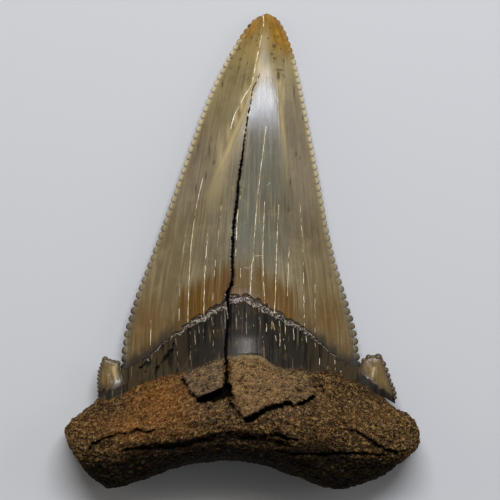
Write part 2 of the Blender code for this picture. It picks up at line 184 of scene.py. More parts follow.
def innerHeight(x, y, s=None):
    # the inner face of the whole tooth: the blade, which swells into the root's crest
    s = acrossBlade(x, y) if s is None else s
    top = crestY(x)
    fade = (y - top) / (form["innerMargin"](x) + toothForm["swellBeyondMargin"] - top)
    swell = form["crest"](x) - bladeHeight(acrossBlade(x, top), top)
    knobs = sum(h * np.exp(-((x - kx)**2 + (y - ky)**2) / r**2) for kx, ky, h, r in toothForm["knobs"])
    # rounded over the crest, then a slope that eases off towards the enamel
    share = np.clip(fade, 0, 1)
    hollow = smoothStep(share / toothForm["crestRounding"])
    slope = (1 - smoothStep(fade)) * (1 - hollow) + (1 - share) ** toothForm["slopeEase"] * hollow
    return bladeHeight(s, y) + swell * slope + knobs


def lumpiness(x, y, z, size, seed, octaves=3):
    # smooth noise, about -1 to 1, at these places in millimetres, for lumps of this size
    shift = Vector((seed * 13.7, seed * -7.3, seed * 5.1))
    points = np.stack(np.broadcast_arrays(x, y, z), -1)
    found = [noise.fractal(Vector(p) / size + shift, 0.9, 2.1,
                           octaves) for p in points.reshape(-1, 3).tolist()]
    return np.array(found).reshape(points.shape[:-1])


def distanceToLine(x, y, points):
    # distance to a polyline, and how many of its points lie behind the nearest place on it
    best, place = np.full(x.shape, 1e9), np.zeros(x.shape)
    p = np.array(points, float)[:, :2]
    for k, d in enumerate(np.diff(p, axis=0)):
        t = np.clip(((x - p[k][0]) * d[0] + (y - p[k][1]) * d[1]) / (d @ d), 0, 1)
        far = np.hypot(x - p[k][0] - t * d[0], y - p[k][1] - t * d[1])
        place = np.where(far < best, k + t, place)
        best = np.minimum(best, far)
    return best, place


def insideOutline(x, y, points):
    # distance inside a closed outline, negative outside it
    within = np.zeros(x.shape, bool)
    for a, b in zip(points, points[1:] + points[:1]):
        if a[1] != b[1]:
            edgeX = (b[0] - a[0]) * (y - a[1]) / (b[1] - a[1]) + a[0]
            within ^= ((a[1] > y) != (b[1] > y)) & (x < edgeX)
    far = distanceToLine(x, y, points + points[:1])[0]
    return np.where(within, far, -far)


def fromPhoto(points):
    # points measured on the picture, in its pixels, as millimetres on the tooth
    return [((px - middlePixel[0]) / pixelsPerMm, (middlePixel[1] - py) / pixelsPerMm) for px, py in points]


def newPiece(name, verts, links, faces, marks=None):
    # a mesh object at the origin; marks are values per point, kept as attributes
    data = bpy.data.meshes.new(name)
    data.from_pydata(verts, links, faces)
    for key, values in (marks or {}).items():
        data.attributes.new(key, "FLOAT", "POINT").data.foreach_set("value", np.array(values, np.float32))
    piece = bpy.data.objects.new(name, data)
    bpy.context.scene.collection.objects.link(piece)
    return piece


def gridPiece(name, rings, startPoint, endPoint, marks):
    # a closed mesh through rings, each an array of points, with its faces turned outwards
    rows, count = rings.shape[:2]
    verts = np.concatenate([rings.reshape(-1, 3), [startPoint], [endPoint]]) * mm
    k = np.arange(count)
    n = (k + 1) % count
    base = (np.arange(rows - 1) * count)[:, None]
    quads = np.stack([base + k, base + n, base + count + n, base + count + k], -1).reshape(-1, 4)
    start, end, last = rows * count, rows * count + 1, (rows - 1) * count
    fans = [(int(b), int(a), start) for a, b in zip(k, n)]
    fans += [(int(last + a), int(last + b), end) for a, b in zip(k, n)]
    whole = {key: np.append(values, [values.flat[0], values.flat[-1]]) for key, values in marks.items()}
    piece = newPiece(name, verts.tolist(), [], quads.tolist() + fans, whole)
    piece.data.shade_smooth()
    solid = bmesh.new()
    solid.from_mesh(piece.data)
    if solid.calc_volume(signed=True) < 0:
        piece.data.flip_normals()
    solid.free()
    piece.data.update()
    return piece


def surfaceOf(piece):
    return BVHTree.FromPolygons([v.co for v in piece.data.vertices],
                                [p.vertices for p in piece.data.polygons])


def straightBelow(surface, px, py):
    return surface.ray_cast(Vector((px * mm, py * mm, 0.05)), Vector((0, 0, -1)))[0]


# The enamel blade
blade = {
    "serrations": 53,
    "rowsPerSerration": 8,
    "coarsening": 0.15,         # serrations grow this share coarser towards the root
    "baseRows": 44,             # finer rows over the lowest serrations, where the enamel breaks off
    "baseSerrations": 2.25,
    "leftColumns": 82,
    "rightColumns": 98,
    "outerColumns": 34,
    "serrationDepth": [(-16, 0.62), (-8, 0.54), (-3, 0.4), (4, 0.32), (24, 0.25), (31.9, 0.2)],   # y, depth
    "serrationReach": 0.62,     # how far in from the edge a serration still shows
    "serrationLean": 0.88,      # below 1, knobs lean towards the tip
    "knobRise": 0.08,           # how far a knob stands up from the face
    "step": 0.38,               # height of the broken enamel edge at the chevron
    "marginFade": 20.0,         # how far up the blade the rows still follow the chevron
    "marginBreaks": 0.34,       # how far the chevron's edge is chipped
    "crustWidth": 0.52,         # the splintered zone above the chevron
    "crustDrop": 0.17,
    "crackDepth": 2.0,
    "facet": 0.9,               # how far the middle of the blade is flattened between its two creases
    "facetTop": 0.93,
    "ripple": 0.014,
    # the creases, as y and the share of the half width from the middle line
    "leftCrease": [(-20, -0.64), (0, -0.63), (6.7, -0.55), (12, -0.42), (17.4, -0.25), (22, -0.13),
                   (31.9, -0.1)],
    "rightCrease": [(-20, 0.62), (6.7, 0.57), (18, 0.52), (21, 0.52), (25, 0.44), (31.9, 0.3)],
    # the cream along the creases is partly cream streaks and partly painted highlight
    # cream lines along them: crease, shift, sway, width, lower end, upper end, fade there, strength
    "creamAndHighlightLines": [("leftCrease", 0, 0.03, 0.05, 5, 25.5, 2, 0.7),
               ("leftCrease", -0.05, 0.07, 0.1, 0, 21, 5, 0.3),
               ("rightCrease", 0, 0.04, 0.045, 8, 23.5, 2.5, 0.5)],
    "ochreSides": [(-12.6, -9.5, 0.6), (11.2, -8.6, 0.6)],   # x, y, strength
    # brown marks: pixels on the picture, then half width and half height in millimetres
    "stains": [(280, 70, 0.6, 0.12), (278.5, 76, 0.2, 0.7), (272, 54, 0.22, 0.14), (274.5, 58.5, 0.2, 0.14),
               (258, 45, 0.12, 0.1),
               (211, 139, 0.08, 0.35), (209.5, 150, 0.11, 0.9), (198, 146, 0.1, 0.35), (231, 57, 0.2, 0.18),
               (296, 154, 0.13, 0.3),
               (300, 158, 0.1, 0.25), (237, 49, 0.14, 0.12), (206, 176, 0.1, 0.5), (290, 182, 0.09, 0.5),
               (268, 38, 0.16, 0.1),
               (214, 163, 0.12, 0.3), (294, 92, 0.1, 0.9), (222, 84, 0.12, 0.5), (303, 118, 0.12, 0.3),
               (274, 46, 0.3, 0.25), (288, 210, 0.08, 0.4), (196, 188, 0.09, 0.6), (284, 62, 0.1, 0.1)],
    # cream and painted highlight beside the creases and atop the key light's highlight, given the same way
    "creamAndHighlightSpots": [(247, 93, 0.4, 1.1), (242, 105, 0.4, 1.3), (236, 120, 0.3, 1.3), (258, 66, 0.6, 1.5),
              (264, 73, 1.1, 1.2),
              (283.5, 97, 0.22, 1.7), (281, 110, 0.16, 1.0), (279, 84, 0.35, 0.9), (229, 136, 0.35, 1.6),
              (221, 160, 0.4, 2.2)],
}
print("blade")
u = np.concatenate([np.arange(blade["baseRows"]) / blade["baseRows"] * blade["baseSerrations"],
                    np.arange(blade["baseSerrations"], blade["serrations"] - 0.01,
                              1 / blade["rowsPerSerration"]),
                    [blade["serrations"] - 0.06, blade["serrations"] - 0.02]])
u = u / blade["serrations"]
shares = u * (1 + blade["coarsening"] * (1 - u))
leftEdge, rightEdge = byLength(toothForm["bladeLeft"], shares), byLength(toothForm["bladeRight"], shares)
leftCrease, rightCrease = throughPairs(blade["leftCrease"]), throughPairs(blade["rightCrease"])


def outwardOf(edge, side):
    along = np.gradient(edge, axis=0)
    along /= np.linalg.norm(along, axis=1)[:, None]
    return np.stack([along[:, 1], -along[:, 0]], 1) * side


def bySide(s, pair):
    # the right edge's value where s is over 0, and otherwise the left edge's
    return np.where(s > 0, pair[:, 1:], pair[:, :1])


leftOut, rightOut = outwardOf(leftEdge, -1), outwardOf(rightEdge, 1)
width = np.linalg.norm(rightEdge - leftEdge, axis=1)
depth = (throughPairs(blade["serrationDepth"])(leftEdge[:, 1]) * np.minimum(1.0, width / 3.0))[:, None]
leftIn, rightIn = leftEdge - leftOut * depth, rightEdge - rightOut * depth
# each serration is a rounded knob that leans a little towards the tip, no two quite alike
turn = u * blade["serrations"]
chip = np.array([[noise.noise(Vector((side * 9.0, math.floor(t) * 0.77, 4.0))) for side in (-1, 1)]
                 for t in turn])
phase = (turn % 1.0) ** blade["serrationLean"]
knob = np.sqrt(np.clip(1 - (2 * phase - 1) ** 2, 0, 1))[:, None] * (1 + 0.4 * np.minimum(chip, 0))
climb = (leftIn[:, 1] - leftIn[0, 1])[:, None]
lift = np.clip(1 - climb / blade["marginFade"], 0, 1)


def edgeDistance(s):
    return (1 - np.abs(s)) * width[:, None] / 2


def bladeFlat(s, margin, breaks):
    # plan positions of one face's columns, eased to the enamel margin at the root end
    t = ((s + 1) / 2)[..., None]
    flat = leftIn[:, None] + (rightIn - leftIn)[:, None] * t
    near = np.clip(1 - edgeDistance(s) / blade["serrationReach"], 0, 1) ** 1.6
    outward = np.where((s > 0)[..., None], rightOut[:, None], leftOut[:, None])
    flat = flat + outward * (bySide(s, knob) * depth * near)[..., None]
    base = leftIn[0] + (rightIn[0] - leftIn[0]) * t[:1]
    ragged = np.zeros(base.shape[1])
    for k, bx in enumerate(base[0, :, 0] if breaks else []):
        ragged[k] = noise.fractal(Vector((bx * 0.9, 3.1, 0)), 0.7, 2.2, 4) * breaks
        ragged[k] += (noise.noise(Vector((bx * 3.4, 9.0, 2.0))) > 0.2) * breaks * 0.35
    y = flat[..., 1] + lift * (margin(base[..., 0]) - base[..., 1])
    y += np.clip(1 - climb / 3.0, 0, 1) * ragged * rounding(1 - np.abs(base[..., 0]) / 16.5, 0.3)
    return flat[..., 0], y


def facetHeight(s, y):
    # the flattened section: nearly level between the creases, sloping to the edges
    sl, sr = leftCrease(y), rightCrease(y)
    fall = np.where(s < sl, (sl - s) / (1 + sl), np.where(s > sr, (s - sr) / (1 - sr), 0.0))
    inner = np.clip((s - sl) / (sr - sl), 0, 1)
    top = blade["facetTop"] + 0.05 * (1 - (2 * inner - 1) ** 2)
    edge = form["edge"](y)
    return edge + (form["ridge"](y) - edge) * top * (1 - fall ** 1.12)


def bladeShape(s, y):
    # the rounded section and the flattened one, mixed; the creases are softened over a narrow strip
    keep = blade["facet"] * smoothStep((y + 1) / 12) * smoothStep((30 - y) / 6)
    soft = sum(facetHeight(np.clip(s + d, -1, 1), y) for d in (-0.05, -0.025, 0, 0.025, 0.05)) / 5
    return (1 - keep) * bladeHeight(s, y) + keep * np.where(np.abs(s) > 0.93, facetHeight(s, y), soft)


# the crack parts the columns: it wanders, and its two lips are ragged
midY = (leftIn[:, 1] + rightIn[:, 1]) / 2
crackY = midY + lift[:, 0] * (form["innerMargin"](-1.9) - midY[0])
crackS = np.clip(2 * (crackX(crackY) - leftIn[:, 0]) / (rightIn[:, 0] - leftIn[:, 0]) - 1, -0.4, 0.4)
crackS += np.array([noise.noise(Vector((4.0, cy * 1.3,
                                        6.0))) for cy in crackY]) * 0.14 / np.maximum(width, 2)
halfS = np.minimum(crackHalf(crackY) * 2 / width, 0.1)
lips = []
for side in (-1, 1):
    wobble = np.array([noise.fractal(Vector((side * 5.0, cy * 2.6, 0.7)), 0.5, 2.3, 4) for cy in crackY])
    lips.append(crackS + side * halfS * np.clip(0.86 + 0.6 * wobble, 0.35, 1.4))
leftLip, rightLip = (lip[:, None] for lip in lips)
ease, easeBack = np.linspace(0, 1, blade["leftColumns"]), np.linspace(1, 0, blade["rightColumns"])
s = np.concatenate([-1 + (leftLip + 1) * (0.8 * ease + 0.2 * ease**2),
                    leftLip + (rightLip - leftLip) * np.array([0.15, 0.5, 0.85]),
                    1 - (1 - rightLip) * (0.8 * easeBack + 0.2 * easeBack**2)], 1)
x, y = bladeFlat(s, form["innerMargin"], blade["marginBreaks"])
fromMargin, fromEdge = y - y[:1], edgeDistance(s)
inCrack = np.zeros(s.shape)
inCrack[:, blade["leftColumns"]:blade["leftColumns"] + 3] = 1
dash = np.array([noise.noise(Vector((2.0, cy * 1.7, 0))) for cy in crackY])
openness = smoothStep((crackHalf(crackY) - 0.11) / 0.05)
openness = np.maximum(openness, 0.75 * (crackHalf(crackY) > 0.045)
                      * smoothStep((dash + 0.05) / 0.08))[:, None]
z = innerHeight(x, y, s) - bladeHeight(s, y) + bladeShape(s, y)
z += blade["step"] * rounding(1 - np.abs(s), 0.3) * lift
swing = bySide(s, knob) * np.minimum(1, width / 4)[:, None]
bead = swing * bell((fromEdge - 0.12) / 0.24)
z += blade["knobRise"] * bead * (0.6 + 0.8 * np.abs(bySide(s, chip)))
z += blade["ripple"] * lumpiness(s * 9, y * 0.22, 0, 1.0, 4) * smoothStep((1 - np.abs(s)) / 0.15)
# the splintered crust: its upper edge wanders, and flakes of it stand at different heights
edgeNoise = lumpiness(x, y * 0.4, 0, 0.8, 21)
wide = blade["crustWidth"] * (0.25 + 0.75 * bell(x / 8.5, 4)) * (1 + 0.75 * edgeNoise)
crust = smoothStep((wide - fromMargin) / 0.16 + 0.5) * rounding(1 - np.abs(s), 0.08)
chips = lumpiness(x * 1.3, y * 1.6, 0, 0.38, 23, 4)
chips = np.where(chips > 0.1, 0.35 + 0.7 * chips, chips * 0.9)
z += crust * (-blade["crustDrop"] + 0.1 * chips)
z -= inCrack * blade["crackDepth"] * openness
front = np.stack([x, y, z], -1)

outerS = np.linspace(1, -1, blade["outerColumns"] + 2)[1:-1]
outerS = np.broadcast_to(np.sign(outerS) * np.abs(outerS) ** 0.8, (len(u), len(outerS)))
ox, oy = bladeFlat(outerS, form["outerMargin"], 0)
outer = np.stack([ox, oy, np.maximum(outerHeight(outerS, oy), 0.0)], -1)


def spotsAt(x, y, spots, power):
    # the strongest of these soft spots at each place
    found = np.zeros(x.shape)
    for (px, py, wide, high), (sx, sy) in zip(spots, fromPhoto([spot[:2] for spot in spots])):
        found = np.maximum(found, bell((x - sx) / wide, power) * bell((y - sy) / high, power))
    return found


def enamelMarks(x, y, s):
    # where the enamel is stained: amber at the tip, ochre above the chevron
    # cream along the creases, partly cream streaks and partly painted highlight
    warp = lumpiness(s * 6, y * 0.12, 0, 1.0, 31)
    fine = lumpiness(x * 2.6, y * 0.12, 0, 1.0, 33)
    rim = smoothStep((np.abs(s) - 0.12) / 0.6)
    amber = smoothStep((y + 1.4 * warp + (1.3 + 2.6 * (s > 0)) * rim - 28.6) / 2.4) * (0.66 + 0.34 * rim)
    amber = np.maximum(amber, smoothStep(y + 0.6 * warp - 30.0) * 0.8)
    top = -0.4 - 5.2 * np.clip(np.abs(s + 0.02) / 0.62, 0, 1) ** 1.7 + 0.8 * fine + 0.5 * warp
    ochre = smoothStep((top - y) / 2.8) * smoothStep((0.7 + 0.1 * fine - np.abs(s)) / 0.3)
    ochre *= (1 - 0.35 * bell((x - 0.6) / 1.5)) * (0.9 + 0.3 * fine)
    for bx, by, strength in blade["ochreSides"]:
        ochre = np.maximum(ochre, strength * bell((x - bx) / 2.4) * bell((y - by) / 4.0) * (1 + 0.5 * fine))
    # cream: partly cream streaks, partly painted highlight beside the creases and around the key light's
    # highlight
    cream = 0.85 * spotsAt(x, y, blade["creamAndHighlightSpots"], 2) * (0.7 + 0.5 * fine)
    for crease, shift, sway, wide, low, high, fade, strength in blade["creamAndHighlightLines"]:
        crease = leftCrease(y) if crease == "leftCrease" else rightCrease(y)
        line = bell((s - crease + shift + sway * warp) / wide)
        cream = np.maximum(cream, strength * line * smoothStep((y - low) / 9)
                           * smoothStep((high - y) / fade))
    return {
        "across": 0.5 * s + 0.5 * x / 14, "amber": amber, "ochre": ochre, "cream": np.clip(cream, 0, 1),
        "panel": bell((s - 0.16 + 0.05 * warp) / 0.4,
                      4) * smoothStep((y + 6) / 9) * smoothStep((25 - y) / 9),
        "flank": smoothStep((np.abs(s) - 0.42 + 0.08 * warp) / 0.35) * smoothStep((24 - y) / 14),
        "stain": spotsAt(x + 0.05 * warp, y, blade["stains"], 2.5),
        "edgeRim": np.clip(1 - edgeDistance(s), 0, 1)}


bladeMarks, outerMarks = enamelMarks(x, y, s), enamelMarks(ox, oy, outerS)
# away from the middle the enamel darkens and thins out at its end
worn = smoothStep((np.abs(x) - 6.5) / 4.5) * smoothStep((2.6 + 0.5 * edgeNoise - fromMargin) / 2.2)
# brown creeps out of the crack, most of all at its foot
toLip = np.maximum(np.maximum(leftLip - s, s - rightLip), 0) * width[:, None] / 2
foot = smoothStep((-1.5 - y) / 2.5)
rust = bell(toLip / (0.13 + 0.32 * foot * (0.6 + 0.6 * edgeNoise))) * openness * (0.55 + 0.45 * foot)
# painted shade along the crust's upper step
crustStepShade = bell((fromMargin - wide) / 0.12) * (chips > -0.25)
bladeMarks.update({
    "worn": worn, "crust": crust, "bead": bead, "stain": np.maximum(bladeMarks["stain"], rust),
    # painted shade, near black, in the open crack and along the crust's step
    "crackAndStepShade": np.maximum(inCrack * openness, 0.85 * crustStepShade),
    # painted shade in the notches between the knobs
    "notchShade": (1 - swing) ** 2 * bell(fromEdge / 0.3) * smoothStep((width[:, None] - 2) / 3),
    # painted glints along the crust's lower rim
    "crustRim": crust * bell((fromMargin - 0.06) / 0.1)})
outerStrength = {"across": 1, "amber": 1, "ochre": 0.4, "panel": 1, "flank": 1, "edgeRim": 1}
for key, values in bladeMarks.items():
    onOuter = outerMarks[key] * outerStrength[key] if key in outerStrength else np.zeros(ox.shape)
    bladeMarks[key] = np.concatenate([values, onOuter], 1)
bladePiece = gridPiece("enamel_blade", np.concatenate([front, outer], 1), (0.0, -19.5, 5.0),
                       (3.4, 31.86, form["edge"](31.9)), bladeMarks)

# The root with the bare band below the enamel
root = {
    "rings": 390,
    "innerSteps": 168,
    "outerSteps": 46,
    "upperSide": [0.25, 0.48, 0.66, 0.8, 0.9, 0.96, 1.0],   # places of the columns under the enamel
    "rim": 3.6,              # height of its outline over the table
    "outerHeight": 1.25,
    "lobeContact": (15.0, -26.0),
    "lobeSag": 1.35,
    "lobeSagWidth": 7.0,
    "endRounding": 0.16,
    "sideRounding": 0.06,
    "sink": 0.4,             # how far it dips under the enamel
    "lumps": 0.4,
    "grain": 0.12,
    "skin": 0.16,            # the bone is a skin over the polished band and ends in a low ragged step
    "flakeRise": 0.6,
    "gapDepth": 1.7,
    "crackDepth": 0.9,
    # soft patches of colour, as x, y, half width, half height and strength
    "orange": [(-10.2, -20.0, 5.2, 3.6, 1.0), (-15.5, -23.5, 3.0, 1.6, 0.55)],
    "ashen": [(-5.2, -16.8, 2.44949, 2.44949, 0.8), (7.5, -18.0, 2.44949, 2.44949, 0.7),
              (-3.4, -20.8, 4.2, 2.0, 1.0), (5.0, -21.5, 4.0, 1.0, 0.6)],
    "highest": 13.0,         # above this the crest is flattened, by up to the next value at most
    "overshoot": 0.9,
}
bandLower = throughPairs(fromPhoto([(97, 399), (108, 399), (114, 398), (120, 395), (125, 392), (132, 388),
                                    (145.9, 380.8), (161.2, 376.7), (175.5, 372.7),
                                    (189.8, 368.6), (208.7, 361.3), (224, 356.6), (241.2, 354.6),
                                    (262.3, 355.6),
                                    (270.9, 362.3), (280.5, 366.1), (294.8, 368), (314, 368.5), (330, 370),
                                    (345, 375),
                                    (358.3, 381.7), (366, 387), (374, 393), (382.5, 398.5), (391, 404.5)]))
flakes = [fromPhoto([(188, 366), (192.4, 360), (224, 354), (224.5, 379.5), (221.1, 386.2), (211.6, 390),
                     (199.1, 393.9),
                     (194.4, 390), (188.6, 384.3), (186.7, 379.5), (181.9, 375.7)]),
          fromPhoto([(230.7, 357), (245, 354), (264.2, 356), (285, 363), (312, 375.7), (313, 392.9),
                     (303.4, 397.7),
                     (292.9, 401.5), (288.1, 397.7), (280.5, 399.6), (266.1, 403.4), (250.8, 412),
                     (243.2, 414),
                     (237.4, 399.6), (231.7, 384.3)])]
gaps = [fromPhoto([(197, 394), (211, 390), (221, 386), (225, 380), (232, 383), (235.5, 391), (228, 395),
                   (220.2, 396.7),
                   (206, 400.6), (198, 400)]),
        fromPhoto([(243, 414.5), (250, 412.5), (261, 405), (266, 403.4), (280.5, 399.6), (288, 397.7),
                   (293, 401.4),
                   (303, 397.8), (312, 393), (314.5, 394), (312, 397.5), (304, 401.5), (291, 402),
                   (283, 402),
                   (268, 408), (256, 415), (247, 419.5)])]
# dark splits in the root's face, as points on the picture, width and depth in millimetres
crevices = [
    ([(146, 447), (166, 443), (184, 441), (202, 436), (222, 432), (250, 434), (275, 438), (292, 444)], 0.95,
     0.8),
    ([(91.5, 447), (96, 441), (99, 440), (104, 436), (113, 434), (119, 430.5), (131, 431), (139, 427.5),
      (149, 429), (160, 425.5)], 0.28, 0.7),
    ([(118, 448), (140.3, 444.8), (160, 445), (178.6, 443.2), (197.7, 436.9), (216.8, 430.5), (236, 427)],
     0.42, 0.9),
    ([(226, 388), (230, 396), (234, 404), (241, 412), (248, 418)], 0.3, 0.7),
    ([(339, 419), (344, 420.5), (350, 418)], 0.16, 0.4),
    ([(215, 439), (236, 433), (256, 434), (276, 431), (296, 436)], 0.45, 0.9),
    ([(274.2, 446.4), (296, 450), (318.9, 451.2), (350.8, 450.3), (376.3, 451.2), (392, 452)], 0.28, 0.7),
    ([(340, 425), (358, 430), (375, 443), (388, 449), (399, 453)], 0.32, 0.6),
    ([(315, 385.3), (320.7, 384.3), (323.5, 390)], 0.2, 0.7),
    ([(175.5, 335.9), (173.5, 348.2), (163.3, 360.4), (157.1, 368.6), (155.1, 374.7)], 0.3, 0.6),
    ([(139, 369), (149, 361.4), (146, 371)], 0.34, 0.5),
    ([(175.5, 337), (176, 350), (179, 362), (181, 374)], 0.14, 0.4),
    ([(180.6, 373.7), (186.7, 382.9), (190.8, 390), (199, 397)], 0.2, 0.6),
]
print("root")


def under(margin, px, py):
    return smoothStep((py - margin(px)) / 1.2)


def rootOuter(px, py):
    cx, cy = root["lobeContact"]
    away = ((np.abs(px) - cx) ** 2 + (py - cy) ** 2) / root["lobeSagWidth"] ** 2
    bare = root["outerHeight"] - root["lobeSag"] * np.exp(-away)
    share = (py - form["outerMargin"](px)) / 7.0 + 1
    flush = outerHeight(acrossBlade(px, py), py) + 0.2
    return bare + (flush - bare) * smoothStep(share) + root["sink"] * under(form["outerMargin"], px, py)


def rootInner(px, py):
    return innerHeight(px, py) - root["sink"] * under(form["innerMargin"], px, py)


# rings from lobe to lobe, closer at both ends and beside the crack
ringShare = np.arange(1, root["rings"] + 1) / (root["rings"] + 1)
ringShare = ringShare + 0.45 * ((1 - np.cos(np.pi * ringShare)) / 2 - ringShare)
low, high = (alongPath(toothForm[side], ringShare) for side in ("rootLow", "rootHigh"))
atCrack = np.interp(-2.1, (low[:, 0] + high[:, 0]) / 2, ringShare)
ringShare = np.sort(np.concatenate([ringShare, atCrack + np.linspace(-0.0036, 0.0036, 9)]))
low, high = (alongPath(toothForm[side], ringShare) for side in ("rootLow", "rootHigh"))
ends = rounding(np.minimum(ringShare, 1 - ringShare), root["endRounding"])[:, None]
crestShare = np.clip((crestY((low[:, 0] + high[:, 0]) / 2) - low[:, 1]) / (high[:, 1] - low[:, 1]), 0.2,
                     0.6)
insideZ = ((rootInner(high[:, 0], high[:, 1]) + rootOuter(high[:, 0], high[:, 1])) / 2)[:, None]


def rootShares(margin, steps):
    # columns from the lower rim up to the enamel's margin, then under it to the upper rim
    atMargin = np.clip((margin(high[:, 0]) - low[:, 1]) / (high[:, 1] - low[:, 1]), 0.5, 0.94)[:, None]
    shares = atMargin * (np.arange(steps + 1) / steps)[None] ** 1.25
    return np.concatenate([shares, atMargin + (1 - atMargin) * np.array([root["upperSide"]])], 1)


def rootPlaces(v):
    flat = low[:, None] + (high - low)[:, None] * v[..., None]
    return flat[..., 0], flat[..., 1], root["rim"] + (insideZ - root["rim"]) * v


v = rootShares(form["innerMargin"], root["innerSteps"])
x, y, rim = rootPlaces(v)
shape = rounding(v, crestShare[:, None]) * rounding(1 - v, root["sideRounding"]) * ends
z = rim + np.maximum(rootInner(x, y) - rim, 0.3) * shape

# where the bare band shows, and where the bone's skin still covers it
bandFade = 0.55 + 0.8 * smoothStep((x - 6.5) / 3)
band = smoothStep((y - bandLower(x)) / bandFade + 0.5 + 0.5 * lumpiness(x, y, 0, 1.1, 3, 4))
band *= smoothStep(20.6 - np.abs(x))
patch = lumpiness(x, y, 0, 4.0, 41)
bare = (1 - band) * (1 - under(form["innerMargin"], x, y - 0.4))
wander = 0.22 * lumpiness(x, y, 0, 0.9, 5)
flakeMark = np.maximum(*[smoothStep((insideOutline(x, y, outline) + wander) / 0.14 + 0.5)
                         for outline in flakes])
gapMark = np.maximum(*[smoothStep((insideOutline(x, y, outline) + wander * 0.7) / 0.2 + 0.6)
                       for outline in gaps])
gapMark *= 1 - flakeMark
jagged = 0.12 * lumpiness(x * 0.7, y, 0, 0.4, 61, 2)
splitMark, splitDepth = np.zeros(x.shape), np.zeros(x.shape)
for points, width, depth in crevices:
    far, place = distanceToLine(x, y, fromPhoto(points))
    taper = np.clip(np.minimum(place, len(points) - 1 - place) / 0.8, 0.15, 1)
    hit = smoothStep(1 - (far + wander * 0.8 + jagged) / (width * taper * (0.8 + 0.9 * np.abs(patch))))
    splitMark = np.maximum(splitMark, hit)
    splitDepth = np.maximum(splitDepth, hit * depth)
nearCrack = np.abs(x - crackX(y) - 0.07 * lumpiness(0 * x, y, 0, 0.5, 2, 2))
crackIn = smoothStep((crackHalf(y) * 1.15 - nearCrack) / 0.07) * (y > -18.6)
lumps = root["lumps"] * lumpiness(x, y, z, 3.4, 7, 4) + root["grain"] * lumpiness(x, y, z, 0.85, 8)
steep = np.clip(shape, 0.25, 1)
for bx, by, rise, reach in toothForm["bosses"]:
    z += rise * np.exp(-((x - bx) ** 2 + (y - by) ** 2) / reach ** 2) * bare
z += (root["flakeRise"] * flakeMark * smoothStep((bandLower(x) - y) / 2.0) + root["skin"] * bare
      + lumps * bare * steep)
z -= root["gapDepth"] * gapMark + (splitDepth * steep + root["crackDepth"] * crackIn) * (1 - gapMark)
over = (z - root["highest"]) / root["overshoot"]
z = np.where(over > 0, root["highest"] + root["overshoot"] * np.tanh(over), z)
inner = np.stack([x, y, z], -1)


def patchesAt(patches):
    return sum(strength * bell((x - px) / wide) * bell((y - py) / high) for px, py, wide, high,
               strength in patches)


rootMarks = {
    # gap: painted shade, near black, under the flakes, in the crevices and in the crack
    "band": band, "flake": flakeMark, "gap": np.maximum.reduce([gapMark, splitMark * 0.9, crackIn]),
    "bone": bare,
    "orange": np.clip(patchesAt(root["orange"]) + 0.3 * patch, 0, 1),
    "ashen": np.clip(patchesAt(root["ashen"]) + 0.25 * patch, 0, 1),
    # darker bone with painted shade below the crest, where the face turns from the key light
    "darkBoneAndShade": smoothStep((crestY(x) - 0.4 - y + 0.9 * patch) / 3.0),
    "sheenLow": np.maximum(smoothStep((-5.5 - x) / 5), 0.9 * smoothStep((x - 7) / 5)) * band,
    # a pale line where the bone ends over the band's sheen
    "seam": np.clip(4 * band * (1 - band), 0, 1) ** 2 * bell((x - 0.9) / 3.2, 4) * (0.6 + 0.5 * patch),
    "gloss": bell((x - 1.2) / 3.0) * smoothStep((-10.8 - y) / 1.2)}

vOut = rootShares(form["outerMargin"], root["outerSteps"])[:, -2:0:-1]
x, y, rim = rootPlaces(vOut)
shape = rounding(vOut, 0.3) * rounding(1 - vOut, root["sideRounding"]) * ends
z = rim + np.minimum(rootOuter(x, y) - rim, -0.3) * shape
z += 0.14 * lumpiness(x, y, z, 2.6, 11, 4) * smoothStep((form["outerMargin"](x) - y) / 2)
outer = np.stack([x, y, np.maximum(z, 0.0)], -1)
# the outer face, lying on the table, also gets the darker bone and painted shade
onOuter = {"bone": 1.0, "darkBoneAndShade": 0.55}
rootMarks = {key: np.concatenate([values, np.full(x.shape, onOuter.get(key, 0.0))], 1)
             for key, values in rootMarks.items()}
rootPiece = gridPiece("root", np.concatenate([inner, outer], 1), (-23.7, -24.15, root["rim"]),
                      (23.7, -24.85, root["rim"]), rootMarks)

